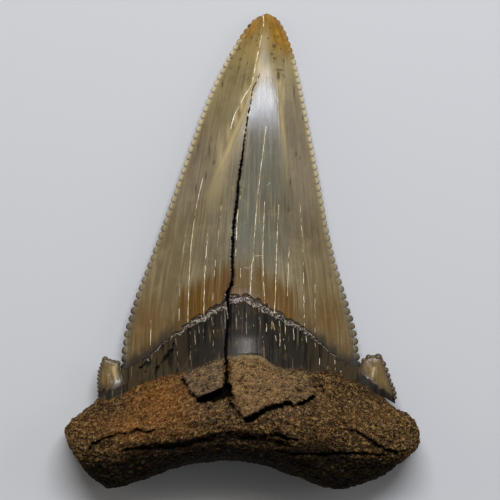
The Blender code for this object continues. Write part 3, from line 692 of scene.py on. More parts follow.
# Side cusplets: stubby side teeth of the same enamel, each with a ridge and a rim of knobs
cusplets = {
    "cusplet_left": {
        # pixels on the picture, from the foot up to the top
        "leftSide": [(98.3, 401), (98, 385), (98.7, 373), (101, 366.7), (101.4, 362), (102.3, 358.8),
                     (105, 357.2)],
        "rightSide": [(128, 390), (122.5, 377), (120.4, 370), (120.2, 365.5), (118, 362), (114, 360.6),
                      (110, 359.2), (105, 357.2)],
        "leftSlope": (0.2, 0.45), "rightSlope": (0.25, 1.1), "topSlope": (0.34, 0.14, -14.7),
        # a painted highlight along these pixels, and its width in millimetres
        "highlightLine": [(114, 368), (115, 374), (115.8, 381)], "highlightWidth": 0.34,
    },
    "cusplet_right": {
        "leftSide": [(356, 380), (358.5, 370), (360.3, 364.5), (363, 359.5), (368.5, 356.4), (374, 355.5),
                     (378, 354.6)],
        "rightSide": [(395.5, 404), (394.3, 394), (390.4, 383), (388, 375), (386, 368), (383.6, 360.5),
                      (381.5, 356), (378, 354.6)],
        "leftSlope": (0.25, 0.5), "rightSlope": (0.25, 0.42), "topSlope": (0.45, 0.14, -14.4),
        # a painted highlight along these pixels, and its width in millimetres
        "highlightLine": [(373.6, 368.5), (373, 372), (371.7, 380)], "highlightWidth": 0.24,
    },
    "knobs": [  # pixels on the picture and radius in millimetres of each knob
        (105, 359.3, 0.42), (109.7, 360.8, 0.3), (113.7, 362, 0.32), (117.2, 363.8, 0.46),
        (101.8, 364.3, 0.27), (100.7, 367.8, 0.26),
        (99.5, 371.5, 0.26), (99, 375.2, 0.25), (98.6, 379, 0.26), (98.5, 383, 0.25), (98.7, 387, 0.26),
        (98.8, 391, 0.24),
        (98.7, 395.5, 0.22), (363.8, 360.4, 0.33), (368.7, 357.4, 0.42), (373, 357.4, 0.34),
        (378.2, 358, 0.62), (383.3, 364.2, 0.44),
        (386, 370.2, 0.4), (388, 375.6, 0.38), (389.4, 380.2, 0.32), (391.2, 384.6, 0.34),
        (393, 388.9, 0.36),
        (394.3, 393.2, 0.36), (395, 397.6, 0.3)],
    "edgeHeight": 3.1,
    "drop": 1.2,
    "rows": 72,
    "columns": 48,
    "ridgeRounding": 0.06,   # of the ridges between the three facets
    "rimRounding": 0.45,
}
print("cusplets")
ground = surfaceOf(rootPiece)
edgeZ = cusplets["edgeHeight"]
cuspletPieces = []
for name in ("cusplet_left", "cusplet_right"):
    sizes = cusplets[name]
    leftSide, rightSide = fromPhoto(sizes["leftSide"]), fromPhoto(sizes["rightSide"])
    share = np.arange(cusplets["rows"]) / cusplets["rows"]
    a, b = byLength(leftSide, share), byLength(rightSide, share)
    s = np.linspace(-1, 1, cusplets["columns"])
    flat = a[:, None] + (b - a)[:, None] * ((s + 1) / 2)[None, :, None]
    x, y = flat[..., 0], flat[..., 1]
    # three facets meet in rounded ridges, inside a rounded rim
    toLeft, toRight = distanceToLine(x, y, leftSide)[0], distanceToLine(x, y, rightSide)[0]
    (low1, slope1), (low2, slope2), (low3, slope3,
                                     startY) = sizes["leftSlope"], sizes["rightSlope"], sizes["topSlope"]
    facets = [low1 + slope1 * toLeft, low2 + slope2 * toRight, low3 + slope3 * (startY - y)]
    soft = -cusplets["ridgeRounding"] * np.log(sum(np.exp(-f / cusplets["ridgeRounding"]) for f in facets))
    toRim = np.minimum(toLeft, toRight)
    rimShare = rounding(toRim, cusplets["rimRounding"])
    soft = soft * rimShare - 0.25 * (1 - rimShare)
    uneven = 0.06 * lumpiness(x * 1.6, y * 0.6, 0, 0.8, 51)
    zTop = edgeZ + np.maximum(soft, -0.25) + uneven * (1 - s * s)
    # its foot lies on the root and ends where the bone begins
    above = (y - bandLower(x)) * 0.8
    hits = [straightBelow(ground, px, py) for px, py in flat.reshape(-1, 2)]
    rootZ = np.array([hit.z / mm if hit else 3.0 for hit in hits]).reshape(x.shape)
    gap = zTop - rootZ - 0.07 * np.clip(above / 0.5, 0, 1)
    joined = zTop - gap / 2 + 0.5 * np.sqrt(gap**2 + 0.09)
    zTop = np.where(above > 0, joined, rootZ + 0.1 - 0.9 * np.clip(-above / 0.3, 0, 1))
    drop = cusplets["drop"] * (1 - s * s) * rounding(1 - share, 0.5)[:, None]
    zLow = np.minimum(edgeZ - 0.3 - drop, zTop - 0.02)
    rings = np.concatenate([np.dstack([flat, zTop]), np.dstack([flat, zLow])[:, -2:0:-1]], 1)
    far, run = distanceToLine(x, y, fromPhoto(sizes["highlightLine"]))
    # marks of the face, each with the value of the hidden underside
    marks = {
        "across": (x / 9, 0.3),
        # painted highlight along the facet that faces the key light
        "cream": (0.8 * bell(far / (sizes["highlightWidth"] * (1 - 0.35 * run) + uneven)), 0),
        "edgeRim": (bell(toRim / 0.5), 1),
        "band": (smoothStep((1.0 - above + 5 * uneven) / 0.4 + 0.5), 0),
        "worn": (smoothStep((2.1 - above + 4 * uneven) / 1.5), 0.4)}
    below = np.ones((len(share), len(s) - 2))
    marks = {key: np.concatenate([values, below * rest], 1) for key, (values, rest) in marks.items()}
    cuspletPieces.append(gridPiece(name, rings, (*((a[0] + b[0]) / 2), 3.0), (*leftSide[-1], edgeZ), marks))


def fromHex(code):
    # sRGB hex to linear colour
    parts = [int(code[k:k + 2], 16) / 255 for k in (1, 3, 5)]
    return [c / 12.92 if c <= 0.04045 else ((c + 0.055) / 1.055) ** 2.4 for c in parts] + [1.0]


def setInputs(tree, node, inputs):
    # inputs are sockets by name or number, each given a value or a socket to link
    for key, value in inputs.items():
        if isinstance(value, bpy.types.NodeSocket):
            tree.links.new(value, node.inputs[key])
        else:
            node.inputs[key].default_value = value


def addNode(tree, kind, options=None, inputs=None, output=0):
    # kind goes without ShaderNode; options are the node's own settings; output None gives the node itself
    node = tree.nodes.new(kind if kind.startswith(("Geometry", "NodeGroup")) else "ShaderNode" + kind)
    for key, value in (options or {}).items():
        setattr(node, key, value)
    setInputs(tree, node, inputs or {})
    return node if output is None else node.outputs[output]


def addRamp(tree, source, stops):
    # a colour ramp with its stops as place and hex
    node = addNode(tree, "ValToRGB", None, {0: source}, None)
    while len(node.color_ramp.elements) < len(stops):
        node.color_ramp.elements.new(0.5)
    for element, (place, code) in zip(node.color_ramp.elements, stops):
        element.position = place
        element.color = fromHex(code)
    return node.outputs[0]


def startMaterial(name, marks):
    # a material's tree and shader, and its fields: the piece's marks and places by name
    material = bpy.data.materials.new(name)
    material.use_nodes = True
    tree = material.node_tree
    field = {mark: addNode(tree, "Attribute", {"attribute_name": mark}, None, "Fac") for mark in marks}
    field["place"] = addNode(tree, "TexCoord", None, None, "Object")
    field["x"], field["y"] = addNode(tree, "SeparateXYZ", None, {0: field["place"]}, None).outputs[:2]
    return material, tree, tree.nodes["Principled BSDF"], field


def addPatterns(tree, field, noises, masks):
    # noises: name, source, size in mm, detail and roughness
    # masks: name, source, and the values where each starts and is full
    for name, source, size, detail, roughness in noises:
        field[name] = addNode(tree, "TexNoise", None, {"Vector": field[source], "Scale": 1 / (size * mm),
                                                       "Detail": detail, "Roughness": roughness})
    for name, source, start, full in masks:
        field[name] = addNode(tree, "MapRange", None, {0: field[source], 1: start, 2: full})


def paintLayers(tree, field, colour, layers):
    # lays colours over each other; a layer is the fields that mask it, its hex and its strength
    for names, code, strength in layers:
        first, *others = names.split()
        part = field[first]
        for name in others:
            part = addNode(tree, "Math", {"operation": "MULTIPLY"}, {0: part, 1: field[name]})
        part = addNode(tree, "Math", {"operation": "MULTIPLY", "use_clamp": True}, {0: part, 1: strength})
        colour = addNode(tree, "Mix", {"data_type": "RGBA"}, {0: part, 6: colour, 7: fromHex(code)}, 2)
    return colour


# Enamel: translucent and polished, so it looks deep and glossy, with stain drawn out along the blade
enamelFinish = {
    "roughness": (0.21, 0.35),  # it varies between these along the streaks
    "crustRoughness": 0.8,
    "specular": 0.46,
    "coat": 0.2,
    "coatRoughness": 0.14,
    # width as a share of the half blade, and seed
    "streaks": [("streak", 1 / 24, 3.0), ("hair", 1 / 75, 8.0)],
    "streakLength": 9.0,        # mm
    "bump": 0.04,               # mm
    "along": [(-17, "#71592f"), (-10, "#7b6441"), (-3, "#7a6e51"), (6, "#796e54"), (15, "#827351"),
              (22, "#8a7a50"), (27, "#8f7a45"), (31.9, "#8c6a26")],
    "noises": [("cloud", "place", 4.7619, 3, 0.5), ("mottle", "place", 1.92308, 4, 0.7),
               ("spots", "place", 0.666667, 2, 0.5), ("chips", "place", 0.384615, 4, 0.5),
               ("bits", "place", 0.232558, 3, 0.5)],
    "masks": [("paleWide", "streak", 0.52, 0.72), ("darkWide", "streak", 0.46, 0.28),
              ("paleFine", "hair", 0.55, 0.75),
              ("darkFine", "hair", 0.44, 0.26), ("cloudy", "cloud", 0.42, 0.68),
              ("mottled", "mottle", 0.52, 0.7),
              ("gold", "mottle", 0.46, 0.34), ("speck", "spots", 0.63, 0.7),
              ("nearTip", "y", 19 * mm, 26 * mm),
              # pale chips are painted glints, dark ones painted shade between the splinters
              ("chipPale", "chips", 0.62, 0.66), ("chipDark", "chips", 0.49, 0.4),
              ("glint", "bits", 0.47, 0.6),
              # upper: where the knobs carry a painted highlight
              ("low", "y", -2 * mm, -8 * mm), ("upper", "y", 0.0, 12 * mm)],
    "layers": [("panel", "#5f5e4f", 0.8), ("flank", "#725d3b", 0.42), ("cloudy", "#4e4026", 0.4),
               ("mottled", "#a39166", 0.28), ("darkWide", "#4b3d23", 0.4), ("paleWide", "#a8986b", 0.34),
               # cream is partly painted highlight
               ("cream", "#cdb680", 0.8), ("ochre", "#5f3f05", 0.94), ("ochre darkFine", "#35210a", 0.6),
               # bead upper is a painted highlight on the knobs
               ("edgeRim", "#84693a", 0.35), ("bead", "#948a6c", 0.55), ("bead upper", "#dccba0", 0.66),
               # the notch layer is painted shade between the knobs
               ("edgeRim low", "#3f3b2c", 0.75), ("notchShade", "#2b2517", 0.6), ("amber", "#845c00", 0.94),
               ("amber mottled", "#4a3200", 0.7), ("amber gold", "#b07c10", 0.7),
               ("darkFine", "#3a2c15", 0.62),
               ("paleFine", "#b5a478", 0.48), ("speck nearTip", "#402b0c", 0.8), ("stain", "#3b2608", 0.85),
               # on the crust: painted glints, and painted shade between the splinters
               ("worn", "#1f1b13", 0.88), ("crust", "#44382a", 0.92), ("crust chipPale", "#b5a588", 0.75),
               ("crust chipDark", "#140d09", 0.92), ("crustRim glint", "#cdc1ab", 0.82),
               # painted shade, near black, in the crack and at the crust's step
               ("crackAndStepShade", "#060302", 0.98)],
}


def enamelMaterial():
    finish = enamelFinish
    material, tree, shader, field = startMaterial("tooth_enamel_buried_and_polished", (
        "across", "amber", "ochre", "cream", "panel", "flank", "crust", "worn", "crackAndStepShade", "edgeRim", "bead",
        "stain",
        "notchShade", "crustRim"))
    first, last = finish["along"][0][0], finish["along"][-1][0]
    share = addNode(tree, "MapRange", None, {0: field["y"], 1: first * mm, 2: last * mm})
    base = addRamp(tree, share, [((at - first) / (last - first), code) for at, code in finish["along"]])
    for name, wide, seed in finish["streaks"]:
        sx = addNode(tree, "Math", {"operation": "DIVIDE"}, {0: field["across"], 1: wide})
        sy = addNode(tree, "Math", {"operation": "DIVIDE"}, {0: field["y"], 1: finish["streakLength"] * mm})
        vector = addNode(tree, "CombineXYZ", None, {0: sx, 1: sy, 2: seed})
        field[name] = addNode(tree, "TexNoise", None,
                              {"Vector": vector, "Scale": 1.0, "Detail": 4.0, "Roughness": 0.6})
    addPatterns(tree, field, finish["noises"], finish["masks"])
    smooth, dull = finish["roughness"]
    gloss = addNode(tree, "MapRange", None, {0: field["streak"], 1: 0.3, 2: 0.7, 3: smooth, 4: dull})
    rough = addNode(tree, "Math", {"operation": "MAXIMUM"}, {0: field["crust"], 1: field["crackAndStepShade"]})
    for name, strength in (("bead", 0.5), ("edgeRim", 0.3), ("worn", 0.3)):
        rough = addNode(tree, "Math", {"operation": "MULTIPLY_ADD", "use_clamp": True},
                        {0: field[name], 1: strength, 2: rough})
    swell = addNode(tree, "Math", {"operation": "MULTIPLY_ADD"},
                    {0: field["bits"], 1: 0.3, 2: field["mottle"]})
    setInputs(tree, shader, {
        "Base Color": paintLayers(tree, field, base, finish["layers"]),
        "Roughness": addNode(tree, "Mix", {"data_type": "FLOAT"},
                             {0: rough, 2: gloss, 3: finish["crustRoughness"]}),
        "Specular IOR Level": finish["specular"],
        "Coat Weight": finish["coat"],
        "Coat Roughness": finish["coatRoughness"],
        "Normal": addNode(tree, "Bump", None, {"Height": swell, "Strength": 0.35,
                                               "Distance": finish["bump"] * mm})})
    return material


# Root: matt porous bone, grainy like sandstone; the band below the enamel is worn glossy and near black
boneFinish = {
    "stretch": (0.8, 1.0, 1.0),      # grains run along the root
    "lineStretch": (1.0, 0.07, 0.07),   # fine lines run down the band
    "roughness": 0.85,
    "bandRoughness": (0.62, 0.28),   # away from its sheen and in it
    "tint": "#fff0d8",
    "bump": 0.16,                    # mm
    "noises": [("patch", "drawn", 5.0, 4, 0.62), ("blotch", "drawn", 1.6, 4, 0.62),
               ("grain", "drawn", 0.16, 3, 0.62),
               ("lines", "drawnDown", 0.384615, 2, 0.5)],
    "masks": [("patchDark", "patch", 0.5, 0.34), ("patchPale", "patch", 0.52, 0.7),
              ("blotchDark", "blotch", 0.5, 0.36),
              ("blotchRust", "blotch", 0.55, 0.7), ("grainDark", "grain", 0.5, 0.34),
              ("grainPale", "grain", 0.54, 0.68),
              ("lineDark", "lines", 0.47, 0.37), ("linePale", "lines", 0.64, 0.74),
              # high and low follow the grain's relief: painted highlight on its tops, painted shade in its
              # hollows
              ("high", "relief", 0.1, 0.7),
              ("low", "relief", -0.1, -0.6), ("leftward", "x", -1.6 * mm, -3.2 * mm),
              ("rightward", "x", 4.4 * mm, 6.6 * mm)],
    "base": "#3d2a15",
    "layers": [("patchPale", "#684b2a", 0.55), ("patchDark", "#332313", 0.6), ("orange", "#8a5522", 0.8),
               ("ashen", "#47392a", 0.75), ("flake", "#7d6140", 0.8), ("flake leftward", "#54483a", 0.8),
               ("flake rightward", "#57452e", 0.75), ("blotchRust", "#6b4120", 0.35),
               ("blotchDark", "#20150b", 0.4),
               # darker bone and painted shade below the crest, laid twice
               # high: painted highlight on the grain's tops; low: painted shade in its hollows
               ("darkBoneAndShade", "#0c0603", 0.85), ("high", "#ab864f", 0.6), ("low", "#0c0602", 0.85),
               ("grainPale", "#b8945f", 0.6), ("grainDark", "#0a0502", 0.86), ("darkBoneAndShade", "#060301", 0.78),
               # pit: painted shade in the bone's pits
               ("pit", "#060301", 0.85), ("band", "#1d1913", 0.96), ("sheenLow", "#3f341e", 0.7),
               ("band blotchRust", "#4a3a22", 0.6), ("band lineDark", "#040302", 0.85),
               # gap: painted shade, near black
               ("band linePale", "#8a795c", 0.5), ("seam", "#a38d66", 0.7), ("gap", "#030201", 0.98)],
}


def boneMaterial(name, specular):
    finish = boneFinish
    material, tree, shader, field = startMaterial(name, (
        "band", "flake", "gap", "bone", "orange", "ashen", "darkBoneAndShade", "sheenLow", "pit", "relief", "gloss",
        "seam"))
    for drawn, stretch in (("drawn", finish["stretch"]), ("drawnDown", finish["lineStretch"])):
        field[drawn] = addNode(tree, "Mapping", {"vector_type": "POINT"},
                               {"Vector": field["place"], "Scale": stretch})
    addPatterns(tree, field, finish["noises"], finish["masks"])
    dull, shiny = finish["bandRoughness"]
    bare = addNode(tree, "MapRange", None, {0: field["gloss"], 1: 0.0, 2: 1.0, 3: dull, 4: shiny})
    rough = addNode(tree, "MapRange", None, {0: field["band"], 1: 0.3, 2: 0.9, 3: finish["roughness"],
                                             4: bare})
    grain = addNode(tree, "Math", {"operation": "MULTIPLY"}, {0: field["grain"], 1: field["bone"]})
    height = addNode(tree, "Math", {"operation": "MULTIPLY_ADD"}, {0: field["lines"], 1: 0.25, 2: grain})
    setInputs(tree, shader, {
        "Base Color": paintLayers(tree, field, fromHex(finish["base"]), finish["layers"]),
        "Roughness": addNode(tree, "Math", {"operation": "MAXIMUM"}, {0: rough, 1: field["gap"]}),
        "Specular IOR Level": specular,
        "Specular Tint": fromHex(finish["tint"]),
        "Normal": addNode(tree, "Bump", None, {"Height": height, "Strength": 0.9,
                                               "Distance": finish["bump"] * mm})})
    return material


# Crack fill: cream mineral that grew in the drying cracks, faintly waxy
def fillMaterial():
    material, tree, shader, field = startMaterial("calcite_crack_fill_cream", ("dull",))
    addPatterns(tree, field, [("bits", "place", 0.909091, 3, 0.5)], [])
    base = addRamp(tree, field["bits"], [(0.3, "#8a7040"), (0.46, "#d6bf8c"), (0.62, "#fbf0d4")])
    setInputs(tree, shader, {"Base Color": paintLayers(tree, field, base, [("dull", "#5c4c37", 0.5)]),
                             "Roughness": 0.42})
    return material


def startTree(name, sizes):
    # a Geometry Nodes tree with a mesh in, a mesh out and named sizes
    tree = bpy.data.node_groups.new(name, "GeometryNodeTree")
    tree.is_modifier = True
    tree.interface.new_socket("Geometry", in_out="INPUT", socket_type="NodeSocketGeometry")
    for label, value in sizes.items():
        kind = "NodeSocketInt" if isinstance(value, int) else "NodeSocketFloat"
        tree.interface.new_socket(label, in_out="INPUT", socket_type=kind).default_value = value
    tree.interface.new_socket("Geometry", in_out="OUTPUT", socket_type="NodeSocketGeometry")
    return tree, addNode(tree, "NodeGroupInput", output=None).outputs


def endTree(tree, geometry, material):
    whole = addNode(tree, "GeometryNodeRealizeInstances", None, {0: geometry})
    painted = addNode(tree, "GeometryNodeSetMaterial", None, {0: whole, "Material": material})
    addNode(tree, "NodeGroupOutput", None, {0: painted}, None)
    return tree


def applyTree(piece, tree, sizes):
    # runs the tree with these sizes and keeps its result as the piece's own plain mesh
    step = piece.modifiers.new(tree.name, "NODES")
    step.node_group = tree
    for item in tree.interface.items_tree:
        if item.item_type == "SOCKET" and item.in_out == "INPUT" and item.name in sizes:
            step[item.identifier] = sizes[item.name]
    graph = bpy.context.evaluated_depsgraph_get()
    made = bpy.data.meshes.new_from_object(piece.evaluated_get(graph), preserve_all_data_layers=True,
                                           depsgraph=graph)
    piece.modifiers.clear()
    made.name = piece.name
    piece.data = made


# Grain and pits of the bone, pushed out of the root's surface by a node tree
print("bone grain")
grain = {"Grain Size": 0.36 * mm, "Grain Depth": 0.17 * mm, "Lump Size": 1.1 * mm, "Lump Depth": 0.24 * mm,
         "Pit Size": 0.62 * mm, "Pit Depth": 0.28 * mm, "Seed": 5}
enamel, fill = enamelMaterial(), fillMaterial()
# grain drinks the light, hardly any shine
bone = boneMaterial("fossil_bone_porous_matt", 0.12)
# same tooth without its bone skin, worn glossy
polished = boneMaterial("dentine_band_polished_near_black", 0.28)


def storeMark(tree, geometry, name, value):
    return addNode(tree, "GeometryNodeStoreNamedAttribute", {"data_type": "FLOAT", "domain": "POINT"},
                   {"Geometry": geometry, "Name": name, "Value": value})


def grainTree():
    tree, size = startTree("boneGrain", grain)
    mask = addNode(tree, "GeometryNodeInputNamedAttribute", {"data_type": "FLOAT"}, {"Name": "bone"})
    place = addNode(tree, "GeometryNodeInputPosition")
    drawn = addNode(tree, "VectorMath", {"operation": "MULTIPLY"}, {0: place, 1: boneFinish["stretch"]})
    scale = {label: addNode(tree, "Math", {"operation": "DIVIDE"}, {0: 1.0, 1: size[label + " Size"]})
             for label in ("Grain", "Lump", "Pit")}
    swings, parts = [], []
    for label in ("Grain", "Lump"):
        bumps = addNode(tree, "TexNoise", {"noise_dimensions": "4D"},
                        {"Vector": drawn, "W": size["Seed"], "Scale": scale[label], "Detail": 2.0})
        swings.append(addNode(tree, "MapRange", {"clamp": False},
                              {0: bumps, 1: 0.25, 2: 0.75, 3: -1.0, 4: 1.0}))
        parts.append(addNode(tree, "Math", {"operation": "MULTIPLY"},
                             {0: swings[-1], 1: size[label + " Depth"]}))
    total = addNode(tree, "Math", {"operation": "ADD"}, {0: parts[0], 1: parts[1]})
    cells = addNode(tree, "TexVoronoi", {"voronoi_dimensions": "4D", "feature": "F1"},
                    {"Vector": drawn, "W": size["Seed"], "Scale": scale["Pit"], "Randomness": 1.0},
                    "Distance")
    pit = addNode(tree, "MapRange", {"interpolation_type": "SMOOTHSTEP"}, {0: cells, 1: 0.34, 2: 0.1})
    pit, height, relief = (addNode(tree, "Math", {"operation": "MULTIPLY"}, {0: value, 1: mask})
                           for value in (pit, total, swings[0]))
    sunk = addNode(tree, "Math", {"operation": "MULTIPLY"}, {0: pit, 1: size["Pit Depth"]})
    height = addNode(tree, "Math", {"operation": "SUBTRACT"}, {0: height, 1: sunk})
    normal = addNode(tree, "GeometryNodeInputNormal")
    push = addNode(tree, "VectorMath", {"operation": "SCALE"}, {0: normal, "Scale": height})
    # pit and relief are kept for painted shade in the pits and painted light and shade on the grain
    kept = storeMark(tree, storeMark(tree, size["Geometry"], "pit", pit), "relief", relief)
    return endTree(tree, addNode(tree, "GeometryNodeSetPosition", None, {"Geometry": kept, "Offset": push}),
                   bone)


applyTree(rootPiece, grainTree(), grain)
co = np.empty(len(rootPiece.data.vertices) * 3, np.float32)
rootPiece.data.vertices.foreach_get("co", co)
rootPiece.data.vertices.foreach_set("co", np.clip(co.reshape(-1, 3), *np.array(cadBox)).ravel())
# where the band shows, on the root and at the feet of the cusplets, the faces are the polished ones
for piece in [rootPiece] + cuspletPieces:
    if piece is not rootPiece:
        piece.data.materials.append(enamel)
    piece.data.materials.append(polished)
    onBand = np.empty(len(piece.data.vertices), np.float32)
    piece.data.attributes["band"].data.foreach_get("value", onBand)
    for face in piece.data.polygons:
        face.material_index = int(onBand[face.vertices[0]] > 0.5)
    piece.data.update()
bladePiece.data.materials.append(enamel)

# Hairline cracks healed with mineral, swept along the enamel by a node tree
print("crack fill")
veins = {
    "width": 0.12,
    "raise": 0.02,
    "step": 0.22,
    "bandCount": 25,   # short lines down the bare band
    "lines": [  # pixels on the picture: x, y down each line, and how unbroken the line is
        ([(263.2, 14.3), (263.7, 21.4), (262.7, 30.6), (260.1, 42.9), (257.6, 55), (255.5, 65.3),
          (253.5, 77.5)], 0.75, 0.17),
        ([(253.5, 77.5), (250.4, 87.8), (245.3, 95), (240.2, 105), (234, 117.3), (231, 129.6)], 0.62, 0.15),
        ([(256.5, 80), (251, 92), (248.6, 106), (246.4, 116), (245, 126), (243, 139)], 0.45, 0.1),
        ([(259.6, 80), (253.6, 92), (251.9, 106), (249.3, 116), (248.2, 126), (245.9, 140)], 0.4, 0.09),
        ([(203, 178), (195, 217), (191, 253), (189, 296), (188.5, 322)], 0.75, 0.1),
        ([(186, 235), (182, 262), (180, 296), (179.5, 320)], 0.45, 0.08),
        ([(208, 233), (205, 278), (204.5, 316)], 0.7, 0.1),
        ([(221.5, 205), (218, 241), (216, 259), (213, 300)], 0.4, 0.08),
        ([(266, 127), (258, 193), (254, 241), (253.6, 257), (252, 265), (250, 294)], 0.85, 0.1),
        ([(264.5, 202), (262.7, 253), (264.5, 303)], 0.85, 0.1),
        ([(278.5, 205), (276.7, 241), (275, 294.5), (274, 312)], 0.9, 0.11),
        ([(288.8, 247), (287, 296)], 0.6, 0.09),
        ([(299.7, 205), (302.7, 247), (303.3, 290), (304, 326)], 0.55, 0.09),
        ([(315, 284), (314.5, 332)], 0.45, 0.08),
        ([(151, 320), (150.7, 345)], 0.9, 0.08),
        ([(240.6, 268), (241.5, 296)], 0.5, 0.07),
        ([(254, 256), (263, 255.5)], 0.8, 0.05),
        ([(243, 267), (249, 268), (252, 265)], 0.8, 0.05),
        ([(266, 187), (270.5, 183)], 0.8, 0.05),
        ([(241.5, 186), (240.2, 200), (238.4, 209), (237.2, 222), (236.6, 240), (235.8, 256)], 0.55, 0.13),
        ([(236.5, 303), (236.8, 320), (237, 352)], 0.35, 0.09),
        ([(245.8, 305), (246.5, 330), (246.2, 352)], 0.3, 0.08),
        ([(241, 300), (241.2, 318)], 0.3, 0.07),
        ([(258.5, 316), (262, 330), (264, 350)], 0.3, 0.08),
        ([(273, 322), (276, 340), (278, 352)], 0.35, 0.1),
        ([(283, 325), (283.5, 340), (286, 352)], 0.35, 0.1),
        ([(195, 328), (196, 345), (195, 368)], 0.3, 0.08),
        ([(213.5, 315), (214, 335), (213, 350)], 0.35, 0.09),
        ([(176, 338), (178, 352), (180, 368)], 0.3, 0.07),
    ],
}


def veinTree():
    tree, size = startTree("crackFill", {"Width": veins["width"] * mm, "Sides": 6})
    curve = addNode(tree, "GeometryNodeMeshToCurve", None, {0: size["Geometry"]})   # its marks ride along
    thick = addNode(tree, "GeometryNodeInputNamedAttribute", {"data_type": "FLOAT"}, {"Name": "thick"})
    radius = addNode(tree, "Math", {"operation": "MULTIPLY"}, {0: thick, 1: size["Width"]})
    curve = addNode(tree, "GeometryNodeSetCurveRadius", None, {0: curve, "Radius": radius})
    upright = addNode(tree, "GeometryNodeSetCurveNormal", None, {"Curve": curve})
    ring = addNode(tree, "GeometryNodeCurvePrimitiveCircle", None,
                   {"Resolution": size["Sides"], "Radius": 0.5})
    swept = addNode(tree, "GeometryNodeCurveToMesh", None,
                    {"Curve": upright, "Profile Curve": ring, "Scale": radius, "Fill Caps": True})
    return endTree(tree, addNode(tree, "GeometryNodeSetShadeSmooth", None, {0: swept}), fill)


# short ones down the bare band, side by side
middleX, middleY = middlePixel
for k in range(veins["bandCount"]):
    px = 184 + 6.8 * k + 3 * noise.noise(Vector((k * 3.3, 0.5, 0)))
    py = middleY - pixelsPerMm * form["innerMargin"]((px - middleX) / pixelsPerMm) + 4
    reach = 20 + 22 * noise.noise(Vector((k * 2.7, 8.5, 0)))
    strong = (px > 262) * 0.5
    points = [(px, py), (px + 0.6, py + reach * 0.5), (px + 0.3, py + reach)]
    veins["lines"].append((points, 0.18 + 0.3 * strong, 0.065 * (1 + strong)))
surfaces = [surfaceOf(bladePiece), surfaceOf(rootPiece)]
verts, links, thick, dull = [], [], [], []
for k, (points, unbroken, wide) in enumerate(veins["lines"]):
    path = np.array(fromPhoto(points))
    length = np.sum(np.linalg.norm(np.diff(path, axis=0), axis=1))
    previous = None
    for px, py in byLength(path, np.linspace(0, 1, max(4, int(length / veins["step"])))):
        px += (0.05 * noise.noise(Vector((k * 7.1, py * 1.7, 0)))
               + 0.03 * noise.noise(Vector((k * 3.1, py * 6.0, 5))))
        body = noise.fractal(Vector((k * 5.3, py * 0.8, 2.0)), 0.7, 2.3, 3) + unbroken * 1.1 - 0.35
        hits = [hit for hit in (straightBelow(surface, px, py) for surface in surfaces) if hit]
        if body < 0 or not hits or py < bandLower(px) + 0.15:
            previous = None
            continue
        hit = max(hits, key=lambda found: found.z)
        verts.append((hit.x, hit.y, hit.z + veins["raise"] * mm))
        overBand = py < form["innerMargin"](px)
        dull.append((0.35 if px > 2.8 else 1.0) * overBand)
        uneven = 1 + 0.6 * noise.noise(Vector((k, py * 3.3, 8)))
        thick.append(wide / veins["width"] * min(1.0, 0.35 + body * 1.2) * uneven)
        if previous is not None:
            links.append((previous, len(verts) - 1))
        previous = len(verts) - 1
veinPiece = newPiece("crack_fill", verts, links, [], {"thick": thick, "dull": dull})
applyTree(veinPiece, veinTree(), {"Width": veins["width"] * mm})


# Beads along the rims of the cusplets, one small ball set on each point by a node tree
def beadTree():
    tree, size = startTree("cuspletBeads", {"Height": 0.8, "Segments": 10, "Rings": 7})
    ball = addNode(tree, "GeometryNodeMeshUVSphere", None,
                   {"Segments": size["Segments"], "Rings": size["Rings"], "Radius": 1.0})
    bulk = addNode(tree, "GeometryNodeInputNamedAttribute", {"data_type": "FLOAT"}, {"Name": "bulk"})
    flat = addNode(tree, "CombineXYZ", None, {0: 1.0, 1: 1.0, 2: size["Height"]})
    scale = addNode(tree, "VectorMath", {"operation": "SCALE"}, {0: flat, "Scale": bulk})
    placed = addNode(tree, "GeometryNodeInstanceOnPoints", None,
                     {"Points": size["Geometry"], "Instance": ball, "Scale": scale})
    return endTree(tree, addNode(tree, "GeometryNodeSetShadeSmooth", None, {0: placed}), enamel)


knobs = cusplets["knobs"]
places = [(kx * mm, ky * mm, edgeZ * mm) for kx, ky in fromPhoto([knob[:2] for knob in knobs])]
beadPiece = newPiece("cusplet_beads", places, [], [], {
    "worn": [0.2] * len(knobs), "edgeRim": [0.9] * len(knobs),
    "bulk": [radius * mm for px, py, radius in knobs]})
applyTree(beadPiece, beadTree(), {"Height": 0.85})

for piece in [bladePiece, rootPiece, veinPiece, beadPiece] + cuspletPieces:
    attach(piece, "root")
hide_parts("shark_tooth")

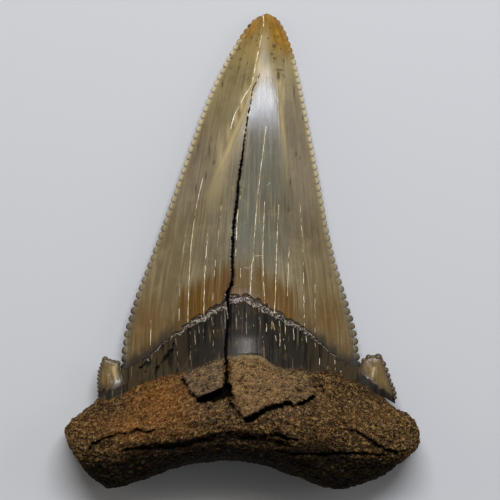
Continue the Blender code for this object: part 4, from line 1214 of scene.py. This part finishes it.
# Floor, light and camera
studio = {
    "floorHex": "#c9c8c4",
    "floorHalf": 2,
    # each light: place, size, watts, colour, and whether the tooth mirrors it
    "key": ((0.03, 0.271, 0.414), (0.34, 0.058), 1.95, "#dfe8ff", True),
    "sky": ((0.06, 0.5, 0.55), (0.6, 0.5), 2.8, "#fffaf0", False),
    "fillLeft": ((-0.55, 0.12, 0.24), (0.3, 0.3), 0.38, "#ffe8d2", False),
    "fillRight": ((0.5, 0.1, 0.3), (0.3, 0.3), 0.5, "#f2f3ff", False),
    "worldHex": "#e8ecf2",
    "worldStrength": 0.14,
    "cameraFar": 0.4,
    "sharpHeight": 3.5 * mm,   # at this height, that of the cutting edges, the picture's scale holds
}
half = studio["floorHalf"]
floor = newPiece("floor", [(-half, -half, 0), (half, -half, 0), (half, half, 0), (-half, half, 0)], [],
                 [(0, 1, 2, 3)])
floorPaint, tree, shader = startMaterial("matt_card", ())[:3]
setInputs(tree, shader, {"Base Color": fromHex(studio["floorHex"]), "Roughness": 0.85})
floor.data.materials.append(floorPaint)
# only the key is mirrored; the others light the colours without veiling them
for name in ("key", "sky", "fillLeft", "fillRight"):
    place, size, watts, colour, mirrored = studio[name]
    lamp = bpy.data.lights.new(name, "AREA")
    lamp.shape = "RECTANGLE"
    lamp.size, lamp.size_y = size
    lamp.energy = watts
    lamp.color = fromHex(colour)[:3]
    holder = bpy.data.objects.new(name, lamp)
    holder.location = place
    holder.rotation_euler = (-Vector(place)).to_track_quat("-Z", "Y").to_euler()
    holder.visible_glossy = mirrored
    bpy.context.scene.collection.objects.link(holder)
world = bpy.data.worlds.new("studio")
world.use_nodes = True
setInputs(world.node_tree, world.node_tree.nodes["Background"],
          {"Color": fromHex(studio["worldHex"]), "Strength": studio["worldStrength"]})
bpy.context.scene.world = world

pictureWidth = 500
eye = bpy.data.cameras.new("camera")
eye.sensor_width = 36.0
eye.lens = eye.sensor_width * (studio["cameraFar"]
                               - studio["sharpHeight"]) / (pictureWidth / pixelsPerMm * mm)
camera = bpy.data.objects.new("camera", eye)
camera.location = ((pictureWidth / 2 - middleX) / pixelsPerMm * mm, 0.0, studio["cameraFar"])
bpy.context.scene.collection.objects.link(camera)
bpy.context.scene.camera = camera
bpy.context.scene.view_settings.view_transform = "Standard"
